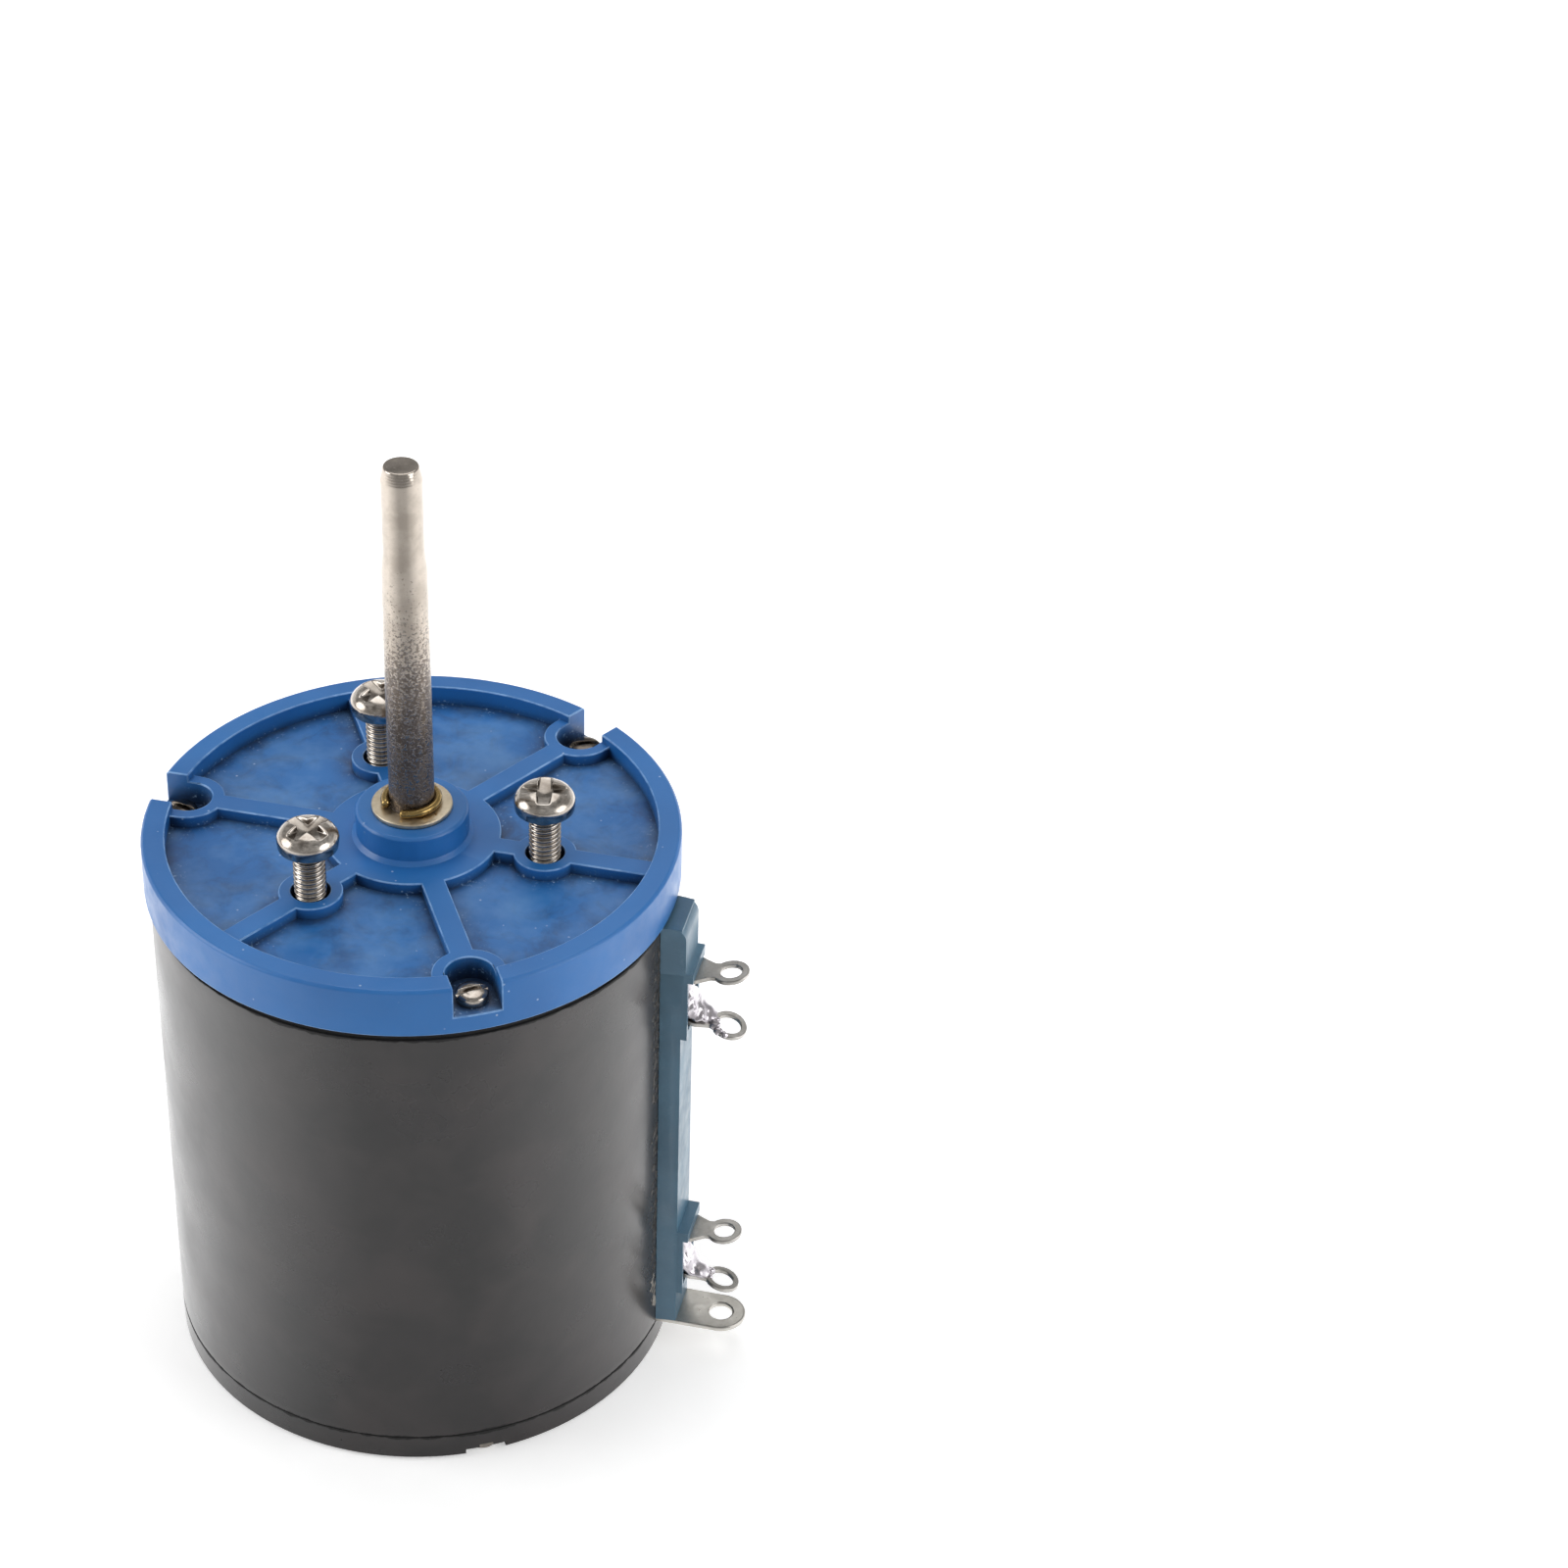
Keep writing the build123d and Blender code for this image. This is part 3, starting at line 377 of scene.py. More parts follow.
def mouldedPhenolicBlack():
    # compression-moulded phenolic: near black, semi-gloss, with a faint waviness and handling haze
    material, tree, shader, place = startMaterial("moulded phenolic, black", Roughness=0.26, IOR=1.6)
    base = twoTone(tree, noise(tree, place, 16, 4, 0.6), "#222122", "#2e2b2c")
    rub = remap(tree, noise(tree, place, 7, 2, 0.5, 0.4), 0.42, 0.75, 0, 0.5)
    base = mixColour(tree, rub, base, linear("#423c3b"))
    # grime and painted shade fill the joints under the cap and above the cover, in lines of uneven width
    height = heightOf(tree, place)
    uneven = remap(tree, noise(tree, place, 1.8, 4, 0.6), 0.3, 0.7, -0.16 * mm, 0.16 * mm)
    wide = remap(tree, noise(tree, place, 12, 1), 0.4, 0.6, -0.10 * mm, 0.14 * mm)
    under = math(tree, "ADD", math(tree, "ADD", height, uneven), wide)
    under = remap(tree, under, (tubeTop - 1.10) * mm, (tubeTop - 0.98) * mm)
    seam = math(tree, "ABSOLUTE", math(tree, "SUBTRACT", height, tubeBottom * mm))
    seam = remap(tree, math(tree, "ADD", seam, uneven), 0.14 * mm, 0.28 * mm, 1, 0)
    jointGrimeAndShade = math(tree, "MAXIMUM", under, seam)
    base = mixColour(tree, times(tree, jointGrimeAndShade, 0.92), base, linear("#050505"))
    haze = remap(tree, noise(tree, place, 9, 4, 0.6), 0.3, 0.7, 0.24, 0.36)
    haze = math(tree, "ADD", haze, times(tree, jointGrimeAndShade, 0.5))
    feed(tree, shader, Base_Color=base, Roughness=haze)
    after = bump(tree, shader, noise(tree, place, 1.6, 2), 0.010)
    bump(tree, shader, noise(tree, place, 0.4, 2), 0.003, after=after)
    return material


def mouldedNylonTeal():
    # satin nylon strip, teal, with a slightly cloudy surface and pale rubbed patches
    material, tree, shader, place = startMaterial("moulded nylon, teal", Roughness=0.38, IOR=1.53)
    base = twoTone(tree, noise(tree, place, 5, 4), "#53788f", "#4a6c82")
    rub = remap(tree, noise(tree, place, 1.3, 4, 0.7), 0.60, 0.75, 0, 0.5)
    base = mixColour(tree, rub, base, linear("#668aa0"))
    feed(tree, shader, Base_Color=base, Roughness=varied(tree, place, 1.8, 3, 0.28, 0.46))
    bump(tree, shader, noise(tree, place, 0.6, 3), 0.018)
    return material


def nickelPlate(name, light, dark, roughness, recessGrimeAndShade):
    # electroplated nickel: bright and smooth, a warm grey, darkened by grime and painted shade where marks
    # named sunk say so
    material, tree, shader, place = startMaterial(name, Metallic=1.0, Roughness=roughness)
    base = twoTone(tree, noise(tree, place, 1.5, 4), light, dark)
    if recessGrimeAndShade:
        base = mixColour(tree, times(tree, mark(tree, "sunk"), recessGrimeAndShade), base, linear("#4b433a"))
    rough = varied(tree, place, 0.6, 4, roughness * 0.7, roughness * 1.6)
    feed(tree, shader, Base_Color=base, Roughness=rough)
    bump(tree, shader, noise(tree, place, 0.35, 3), 0.006)
    return material


def turnedSteelTarnished(groundFrom):
    # turned steel whose bright ground end fades, speck by speck, into a brown-grey tarnish below
    # groundFrom millimetres
    material, tree, shader, place = startMaterial("turned steel, tarnished", Metallic=1.0, Roughness=0.3)
    height = heightOf(tree, place)
    age = remap(tree, height, (groundFrom + 2) * mm, (groundFrom - 12) * mm)
    old = remap(tree, height, (groundFrom - 4) * mm, (groundFrom - 22) * mm)
    specks = noise(tree, place, 0.27, 3, 0.7)
    blotch = noise(tree, place, 2.4, 4, 0.6)
    # the share covered by specks grows with age
    level = remap(tree, math(tree, "ADD", age, times(tree, blotch, 0.5)), 0.2, 1.3, 0.72, 0.44)
    covered = remap(tree, math(tree, "SUBTRACT", specks, level), -0.04, 0.06)
    covered = times(tree, covered, remap(tree, old, 0, 0.8, 0.6, 1))
    clean = twoTone(tree, blotch, "#a39a90", "#b3aaa0", 0.4, 0.6)
    clean = mixColour(tree, times(tree, old, 0.6), clean, linear("#8c7e72"))
    tarnish = twoTone(tree, blotch, "#6a5e53", "#51473f")
    feed(tree, shader, Base_Color=mixColour(tree, covered, clean, tarnish),
         Metallic=remap(tree, times(tree, covered, old), 0, 1, 1.0, 0.35))
    rough = math(tree, "ADD", remap(tree, age, 0, 1, 0.15, 0.24), times(tree, covered, 0.08))
    feed(tree, shader, Roughness=rough)
    # cutting rings drawn 0.25 mm apart, coarser than real ones so that they show;
    # the wave texture makes one ring in 6.28 / 20 of its own units
    settings = {"Vector": place, "bands_direction": "Z", "Scale": perMm(0.25) / 20 * 6.28,
                "Distortion": 1.5, "Detail": 2.0, "Detail Scale": 1.0}
    rings = addNode(tree, "TexWave", settings).outputs["Fac"]
    after = bump(tree, shader, rings, 0.002)
    bump(tree, shader, times(tree, covered, -1.0), 0.012, after=after)
    return material


def plainMetal(name, light, dark, roughness, grain, depth=0.006):
    # bare metal whose colour drifts between two tones, with a fine grain this many millimetres apart
    material, tree, shader, place = startMaterial(name, Metallic=1.0, Roughness=roughness)
    base = twoTone(tree, noise(tree, place, grain * 6, 5, 0.65), light, dark)
    rough = varied(tree, place, grain * 3, 4, roughness * 0.7, roughness * 1.4)
    feed(tree, shader, Base_Color=base, Roughness=rough)
    bump(tree, shader, noise(tree, place, grain, 3), depth)
    return material


def tinnedSheet():
    # hot-tinned brass sheet that has dulled: a warm satin grey with small dark pits
    material, tree, shader, place = startMaterial("tinned sheet, dulled", Metallic=1.0, Roughness=0.36)
    base = twoTone(tree, noise(tree, place, 2.2, 4), "#c6c3bd", "#adaaa3")
    pits = remap(tree, noise(tree, place, 0.32, 3, 0.6), 0.66, 0.74, 0, 0.85)
    area = remap(tree, noise(tree, place, 2.0, 2), 0.42, 0.56)
    base = mixColour(tree, times(tree, pits, area), base, linear("#3f3a34"))
    feed(tree, shader, Base_Color=base, Roughness=varied(tree, place, 0.9, 4, 0.26, 0.5))
    dents = math(tree, "SUBTRACT", noise(tree, place, 0.7, 4), times(tree, pits, 0.6))
    bump(tree, shader, dents, 0.02)
    return material


def plainMoulding(name, light, dark, roughness):
    # matt moulded plastic with a faint grain, for the pieces inside the case
    material, tree, shader, place = startMaterial(name, Roughness=roughness, IOR=1.5)
    base = twoTone(tree, noise(tree, place, 4, 3), light, dark)
    rough = varied(tree, place, 1.5, 3, roughness * 0.85, roughness * 1.15)
    feed(tree, shader, Base_Color=base, Roughness=rough)
    bump(tree, shader, noise(tree, place, 0.5, 3), 0.015)
    return material


def woundResistanceWire():
    # alloy wire wound close on a former: fine ridges across the rod, 0.25 mm apart so that they show;
    # the crests are painted light and the grooves dark, as painted highlight and painted shade
    material, tree, shader, place = startMaterial("close-wound alloy wire", Metallic=1.0, Roughness=0.32)
    axes = addNode(tree, "SeparateXYZ", {"Vector": place})
    angle = math(tree, "ARCTAN2", axes.outputs["Y"], axes.outputs["X"])
    ridges = math(tree, "SINE", times(tree, angle, 480.0))
    # painted highlight on the crests, painted shade in the grooves
    base = twoTone(tree, ridges, "#5d544b", "#a89c8c", -1, 1)
    feed(tree, shader, Base_Color=base, Roughness=varied(tree, place, 1.0, 3, 0.25, 0.42))
    bump(tree, shader, ridges, 0.05)
    return material


def printedLabel(sizes):
    # coated paper: a blue border ring and five empty boxes ruled in dark grey, with no words
    material, tree, shader, place = startMaterial("printed coated label", Roughness=0.38, IOR=1.5)
    axes = addNode(tree, "SeparateXYZ", {"Vector": place})
    radius = addNode(tree, "VectorMath", {"operation": "LENGTH", 0: place}).outputs["Value"]
    blur = sizes["blur"]
    ring = times(tree, remap(tree, radius, (sizes["ringInner"] - blur) * mm, sizes["ringInner"] * mm),
                 remap(tree, radius, sizes["ringOuter"] * mm, (sizes["ringOuter"] + blur) * mm, 1, 0))
    ink = None
    for left, right, low, high in sizes["boxes"]:
        # distance outside a rectangle's edge, kept where it is under half a rule wide
        across = math(tree, "ABSOLUTE", math(tree, "SUBTRACT", axes.outputs["Y"], (left + right) / 2 * mm))
        along = math(tree, "ABSOLUTE", math(tree, "SUBTRACT", axes.outputs["X"], (low + high) / 2 * mm))
        edge = math(tree, "MAXIMUM", math(tree, "SUBTRACT", across, (right - left) / 2 * mm),
                    math(tree, "SUBTRACT", along, (high - low) / 2 * mm))
        edge = math(tree, "ABSOLUTE", edge)
        rule = remap(tree, edge, sizes["rule"] / 2 * mm, (sizes["rule"] / 2 + blur) * mm, 1, 0)
        ink = rule if ink is None else math(tree, "MAXIMUM", ink, rule)
    paper = twoTone(tree, noise(tree, place, 6, 4), "#f1f2f4", "#e6e8ec")
    base = mixColour(tree, times(tree, ink, 0.85), paper, linear("#30343c"))
    base = mixColour(tree, ring, base, linear("#2f4a9c"))
    feed(tree, shader, Base_Color=base, Roughness=varied(tree, place, 2, 3, 0.3, 0.45))
    bump(tree, shader, noise(tree, place, 0.5, 4), 0.008)
    return material


def driedGlue(name, light, dark, roughness):
    # a hardened smear of cement, uneven in tone and slightly wrinkled
    material, tree, shader, place = startMaterial(name, Roughness=roughness, IOR=1.5)
    base = twoTone(tree, noise(tree, place, 0.8, 5, 0.7), light, dark, 0.3, 0.7)
    rough = varied(tree, place, 0.7, 3, roughness * 0.7, roughness * 1.2)
    feed(tree, shader, Base_Color=base, Roughness=rough)
    bump(tree, shader, noise(tree, place, 0.4, 4), 0.05)
    return material


# Levels and radii shared by several pieces, from the frame, in millimetres
tubeBottom = bottom("housing_tube")
tubeTop = top("housing_tube")
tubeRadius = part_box("housing_tube")[1].x / mm
pocketDeep = 4.1  # the cap's pockets, from its highest face
pocketTop = top("front_cap") - pocketDeep

capPlastic = mouldedAbsBlue(mainFace=True)
capEdges = mouldedAbsBlue(mainFace=False)
tubePlastic = mouldedPhenolicBlack()
stripPlastic = mouldedNylonTeal()
screwNickel = nickelPlate("nickel plate, bright", "#c2bbb3", "#988f86", 0.16, 0.6)
washerNickel = nickelPlate("nickel plate, warm", "#d6cab4", "#bcae96", 0.36, 0)
brassWire = plainMetal("drawn brass wire", "#b09560", "#7a6238", 0.22, 0.25)
brassTurned = plainMetal("turned brass", "#cfae66", "#a98846", 0.28, 0.3)
steelPlain = plainMetal("drawn steel", "#a9a6a2", "#7f7c78", 0.3, 0.3)
bronzeStrip = plainMetal("rolled spring bronze", "#c79a5b", "#9c7038", 0.28, 0.3)
leadCopper = plainMetal("tinned copper wire", "#c9c4bc", "#b08a66", 0.3, 0.2)
tagTin = plainMetal("tinned brass, dulled", "#c0bdb9", "#a29f99", 0.34, 0.35, 0.008)
solderTin = plainMetal("solder, bright", "#d2ced3", "#aca7ac", 0.27, 0.5, 0.03)
lugTin = tinnedSheet()
rotorPhenolic = plainMoulding("moulded phenolic, brown-black", "#3b332c", "#2c2620", 0.55)
carriageAcetal = plainMoulding("moulded acetal, ivory", "#ded8c6", "#cdc5b0", 0.42)
windingWire = woundResistanceWire()
glueBlack = driedGlue("cement, black", "#1d1c1b", "#34302c", 0.45)
glueWhite = driedGlue("cement residue, pale", "#a7a29b", "#7c776f", 0.6)
print("potentiometer: materials made")


# Front cap: its solid's own shape with every edge rounded; the rounds are the pale lines, partly rubbed wear
# and partly painted highlight
capSizes = dict(edge=0.13, foot=0.16, soft=0.10)
roundedCopy("capMoulding", "front_cap", capSizes["edge"], capPlastic, "housing", capEdges,
            capSizes["foot"], capSizes["soft"])
print("potentiometer: cap made")


# Housing tube: turned profile with soft ends, which leave a fine groove at each joint
tubeSizes = dict(columns=256, bore=20.0, round=0.26, sway=0.012, gapDeep=0.3, gapHigh=0.9)


def buildTube(s):
    # the top is stepped in a little, which leaves the dark gap under the cap
    side = np.linspace(tubeTop - 2, tubeBottom + 1, 24)
    outer = [(tubeRadius, z, 0) for z in side]
    inner, step = tubeRadius - s["gapDeep"], tubeTop - s["gapHigh"]
    corners = [(s["bore"], tubeTop, 0.2), (inner, tubeTop, 0.05), (inner, step, 0.05),
               (tubeRadius, step, 0.1), *outer, (tubeRadius, tubeBottom, s["round"]),
               (s["bore"], tubeBottom, 0.2)]
    points, closeRows, closeColumns = lathe(roundedPath(corners), s["columns"], True)
    x, y, z = np.moveaxis(points, -1, 0)
    sway = 1 + s["sway"] * ripple(11, 25, x, y, z) / tubeRadius
    points = points * sway[..., None] * (1, 1, 0) + points * (0, 0, 1)
    surface = (points, closeRows, closeColumns)
    return makePiece("tubeMoulding", [surface], tubePlastic, "housing", ("housing_tube",))


buildTube(tubeSizes)

# Rear cover: its solid's own shape with its edges rounded
coverSizes = dict(edge=0.16, foot=0.12)
roundedCopy("coverMoulding", "rear_cover", coverSizes["edge"], tubePlastic, "housing",
            foot=coverSizes["foot"])
print("potentiometer: case made")


# Screws: a round head whose top is lowered by a recess, and a shank with a helical thread
panelScrewSizes = dict(head=2.85, edge=0.95, crown=1.35, shank=1.5, length=11.4, pitch=0.5,
                       threadDepth=0.24, slotHalf=0.30, slotDeep=0.34, crossHalf=0.72,
                       crossReach=2.45, crossDeep=0.80, headColumns=128, shankColumns=40,
                       circle=12.7, firstAngle=0, lifts=(0.0, 0.4, 0.0), turns=(12, 55, -28), paintedShadeHead=())
caseScrewSizes = dict(head=1.5, edge=0.75, crown=0.45, shank=0.95, length=8.0, pitch=0.4,
                      threadDepth=0.2, slotHalf=0.24, slotDeep=0.52, crossHalf=0, headColumns=80,
                      shankColumns=24, circle=22.7, firstAngle=60, lifts=(0, 0, 0))
# heads 0 and 1 are painted dark all over, as shade
frontScrewSizes = dict(caseScrewSizes, turns=(20, -15, 35), paintedShadeHead=(0, 1))
rearScrewSizes = dict(caseScrewSizes, turns=(60, 15, -40), paintedShadeHead=())


def screwHead(s, seat):
    # radius runs from the axis under the head, round its edge and over the crown back to the axis
    under = roundedPath([(0, seat, 0), (s["head"] * 0.97, seat, 0.12), (s["head"], seat + s["edge"], 0)], 4)
    share = np.concatenate([np.linspace(1, 0.93, 6)[1:], np.linspace(0.9, 0, 42)])[:, None]
    crown = np.hstack([s["head"] * share, seat + s["edge"] + s["crown"] * (1 - share ** 3.0) ** 0.58])
    profile = np.concatenate([under, crown])
    grid, closeRows, closeColumns = lathe(profile, s["headColumns"])
    x, y = np.abs(grid[..., 0]), np.abs(grid[..., 1])
    highest = seat + s["edge"] + s["crown"]
    slot = inside(y - s["slotHalf"], 0.12)
    floor = np.where(slot > 0, highest - s["slotDeep"], grid[..., 2])
    level = grid[..., 2] + (np.minimum(floor, grid[..., 2]) - grid[..., 2]) * slot
    if s["crossHalf"]:
        radius = np.hypot(x, y)
        arm = np.minimum(x, y) - s["crossHalf"] * (1 - 0.25 * radius / s["crossReach"])
        cross = inside(np.maximum(arm, radius - s["crossReach"]), 0.14)
        pit = highest - s["crossDeep"] * (1 - 0.62 * np.clip(radius / s["crossReach"], 0, 1) ** 1.4)
        level = level + (np.minimum(pit, level) - level) * cross
    above = np.zeros(grid.shape[:2], bool)
    above[len(under):] = True
    # sunk is the depth of the recess below the crown; the material darkens it as grime and painted shade
    sunk = np.where(above, np.clip((grid[..., 2] - level) / 0.5, 0, 1), 0)
    grid[..., 2] = np.where(above, level, grid[..., 2])
    return (grid, closeRows, closeColumns), sunk


def screwShank(s, seat, rows=9):
    # the radius follows a rounded V thread that climbs one pitch a turn, and fades at the tip
    # and under the head
    depth = np.linspace(0, s["length"], int(s["length"] / s["pitch"] * rows))[:, None]
    turn = np.arange(s["shankColumns"]) * fullTurn / s["shankColumns"]
    wave = np.abs((depth / s["pitch"] + turn / fullTurn) % 1 * 2 - 1)
    cut = smoothStep(0.1, 0.95, wave) * smoothStep(0, 0.5, depth)
    point = smoothStep(s["length"] - 0.45, s["length"], depth)
    radius = s["shank"] - s["threadDepth"] * cut - 0.35 * s["shank"] * point
    axes = (radius * np.cos(turn), radius * np.sin(turn), seat - depth)
    points = np.stack(np.broadcast_arrays(*axes), axis=-1)
    ends = np.zeros((1, s["shankColumns"], 3))
    points = np.concatenate([ends + (0, 0, seat), points, ends + (0, 0, seat - s["length"])])
    # the thread's roots are marked sunk, and the material darkens them as grime and painted shade
    return (points, False, True), np.clip(cut * 1.2 - 0.35, 0, 0.8)


def buildScrew(s, seat, place, spin, flip=False, paintedShadeHead=False):
    # flip turns the head down, and a head with painted shade is dark all over
    head, headSunk = screwHead(s, seat)
    shank, shankSunk = screwShank(s, seat)
    surfaces = [turned(part, spin) for part in (head, shank)]
    if flip:
        surfaces = [turned(part, 180, axis=0) for part in surfaces]
    marks = [np.maximum(headSunk, 1.5 * paintedShadeHead).ravel(), np.pad(shankSunk, ((1, 1), (0, 0))).ravel()]
    return [shifted(part, place) for part in surfaces], marks


def buildScrews(s, name, node, seat, level, flip=False):
    # each screw is made with its head's underside at seat, and then moved up by level
    surfaces, sunk = [], []
    for i, (lift, spin) in enumerate(zip(s["lifts"], s["turns"])):
        angle = np.radians(s["firstAngle"] + 120 * i)
        place = (s["circle"] * np.cos(angle), s["circle"] * np.sin(angle), level)
        parts, marks = buildScrew(s, seat + lift, place, spin, flip, i in s["paintedShadeHead"])
        surfaces += parts
        sunk += marks
    return makePiece(name, surfaces, screwNickel, "housing", (node,),
                     {"sunk": np.concatenate(sunk)})


panelSeat = bottom("mounting_screws") + panelScrewSizes["length"]
frontSeat = bottom("front_cap_screws") + caseScrewSizes["length"]
rearSeat = top("rear_cover_screws") - caseScrewSizes["length"]
buildScrews(panelScrewSizes, "panelScrews", "mounting_screws", panelSeat, 0)
buildScrews(frontScrewSizes, "frontCaseScrews", "front_cap_screws", 0, frontSeat)
buildScrews(rearScrewSizes, "rearCaseScrews", "rear_cover_screws", 0, rearSeat, True)
print("potentiometer: screws made")


# Shaft, washer and retaining ring
shaftSizes = dict(columns=72, radius=2.1, endRadius=1.9, endLength=10.6, taper=2.0, tipInset=0.32,
                  tipLength=1.25, groove=0.15, grooveLow=60.6, grooveHigh=61.5)
ringSizes = dict(inner=1.98, wire=0.42, gap=38, gapAt=244, rows=80, columns=16, flare=0.35, twist=0.12)
washerSizes = dict(inner=2.13, outer=3.75, edge=0.12, columns=96)


def buildShaft(s):
    tail, tip = bottom("shaft"), top("shaft")
    step, tipLow = tip - s["endLength"], tip - s["tipLength"]
    radius, endRadius, grooved = s["radius"], s["endRadius"], s["radius"] - s["groove"]
    low, high = s["grooveLow"], s["grooveHigh"]
    body = [(radius, z, 0) for z in np.linspace(high + 0.4, step - 3.0, 30)]
    end = [(endRadius, z, 0) for z in np.linspace(step + s["taper"] + 0.8, tipLow - 0.4, 14)]
    profile = roundedPath([(0, tail, 0), (radius - 0.3, tail, 0.05), (radius, tail + 0.3, 0.1),
                           (radius, low, 0.04), (grooved, low, 0.04), (grooved, high, 0.04),
                           (radius, high, 0.04), *body, (radius, step, 0.6),
                           (endRadius, step + s["taper"], 0.6), *end, (endRadius, tipLow, 0.12),
                           (endRadius - s["tipInset"], tip, 0.14), (0, tip, 0)])
    steel = turnedSteelTarnished(step)
    return makePiece("shaftTurned", [lathe(profile, s["columns"])], steel, "rotor", ("shaft",))


def buildRing(s):
    # a round wire bent round the shaft; its two ends spring apart and one stands a little higher
    share = np.linspace(0, 1, s["rows"])
    angle = np.radians(s["gapAt"] + s["gap"] / 2 + (360 - s["gap"]) * share)
    spring = s["flare"] * (np.abs(2 * share - 1) ** 6)
    radius = s["inner"] + s["wire"] + spring * 0.6
    level = (bottom("retaining_ring") + top("retaining_ring")) / 2 + s["twist"] * (share - 0.5) ** 3 * 8
    path = np.stack([radius * np.cos(angle), radius * np.sin(angle), level], axis=-1)
    blunt = np.full(s["rows"], s["wire"])
    blunt[[0, -1]] = s["wire"] * 0.8
    surface = sweep(path, blunt, s["columns"])
    return makePiece("retainingRing", [surface], brassWire, "rotor", ("retaining_ring",))


def buildWasher(s):
    inner, outer, edge = s["inner"], s["outer"], s["edge"]
    low, high = bottom("shaft_washer"), top("shaft_washer")
    corners = [(inner, high, edge), (outer, high, edge), (outer, low, edge), (inner, low, edge)]
    ring = lathe(roundedPath(corners), s["columns"], True)
    return makePiece("washerPressed", [ring], washerNickel, "housing", ("shaft_washer",))


buildShaft(shaftSizes)
buildRing(ringSizes)
buildWasher(washerSizes)
print("potentiometer: shaft made")


# Terminals: flat tags with an eye, solder over the rear ones, and the wide lug at the rear
tagSizes = dict(eye=1.7, hole=1.0, neck=1.12, flare=1.85, flareLength=1.35, shoulder=27.5,
                sheet=0.42, edge=0.1, reach=6.1, spacing=5.1, bend=6.0, tilt=10.0, dropCircle=1.42)
wornTagSizes = dict(tagSizes, hole=1.14, neck=0.98, flare=1.4)
lugSizes = dict(eye=2.45, hole=1.15, neck=2.45, flare=2.45, flareLength=1.0, sheet=0.5, edge=0.12)
stripSizes = dict(edge=0.22)
# a bead's spine is a reach from the plate, a share of its lean and a height over the rear ear;
# a drop is an angle round the rear eye, a radius and a height above it
solderSizes = dict(rows=72, columns=56, lump=0.13, lumpSize=1.3, wide=1.9,
                   spine=[(0.1, 0, 4.5), (0.35, 0, 3.6), (0.45, 0, 2.4), (0.8, 0.3, 1.2),
                          (1.6, 0.6, 0.35), (2.6, 1, -0.15), (3.3, 1, -0.42)],
                   shares=(0, 0.05, 0.25, 0.48, 0.68, 0.85, 0.96, 1),
                   radii=(0.15, 0.48, 0.64, 0.88, 0.72, 0.50, 0.38, 0.12),
                   frontDrops=[(205, 0.42, 0.1), (235, 0.36, -0.1), (262, 0.30, -0.15), (180, 0.40, 0.2)],
                   rearDrops=[(165, 0.42, 0.1), (200, 0.34, 0.0), (228, 0.26, -0.1)])


def tag(s, root, shoulder):
    # outline about the eye's centre: an arc, a neck, a flare that ends at the shoulder and
    # straight sides to the root
    join = min(s["neck"] / s["eye"], 0.999)
    arc = np.linspace(-np.pi + np.arcsin(join), np.pi - np.arcsin(join), 72)
    start = s["eye"] * np.cos(np.arcsin(join))
    along = np.concatenate([np.linspace(start, shoulder - s["flareLength"], 8)[1:],
                            np.linspace(shoulder - s["flareLength"], shoulder, 10)[1:],
                            np.linspace(shoulder, root, 8)[1:]])
    share = np.clip((along - shoulder) / s["flareLength"] + 1, 0, 1)
    upper = np.stack([-along, s["neck"] + (s["flare"] - s["neck"]) * share ** 1.1], axis=1)
    back = np.linspace(0.8, -0.8, 9)[:, None] * [[0, s["flare"]]] - [[root, 0]]
    around = s["eye"] * np.stack([np.cos(arc), np.sin(arc)], axis=1)
    outline = np.vstack([around, upper, back, upper[::-1] * (1, -1)])
    length = np.linalg.norm(outline, axis=1)
    # section from the hole to the outline: a share of the way, an offset in millimetres and a level
    half, turn = s["sheet"] / 2, np.radians(np.linspace(0, 90, 4))
    offset, level = s["edge"] * (1 - np.cos(turn)), half - s["edge"] * (1 - np.sin(turn))
    way = np.linspace(0, 1, 14)[1:-1]
    upside = np.vstack([np.stack([0 * turn, offset, level], axis=1),
                        np.stack([way, 0 * way, 0 * way + half], axis=1),
                        np.stack([0 * turn + 1, -offset, level], axis=1)[::-1]])
    section = np.vstack([upside, upside[::-1] * (1, 1, -1)])[:, None]
    distance = s["hole"] + section[..., 0] * (length - s["hole"]) + section[..., 1]
    grid = np.stack(np.broadcast_arrays(distance * outline[:, 0] / length, distance * outline[:, 1] / length,
                                        section[..., 2]), axis=-1)
    return grid, True, True


def bent(surface, slope, curve, fromX):
    # past fromX the sheet turns up by a slope, in a soft bend, and then curves with the square
    # of the distance
    grid = surface[0].copy()
    past = np.maximum(grid[..., 0] - fromX, 0)
    grid[..., 2] += slope * past ** 2 / (past + 0.25) + curve * past ** 2
    return grid, *surface[1:]


def frontEarRoot(s, node):  # level of the sheet's middle where the front ear leaves the plate
    tipLength = tubeRadius + s["reach"] + s["eye"] - s["shoulder"]
    return top(node) - tipLength * np.sin(np.radians(s["bend"])) - s["sheet"] / 2


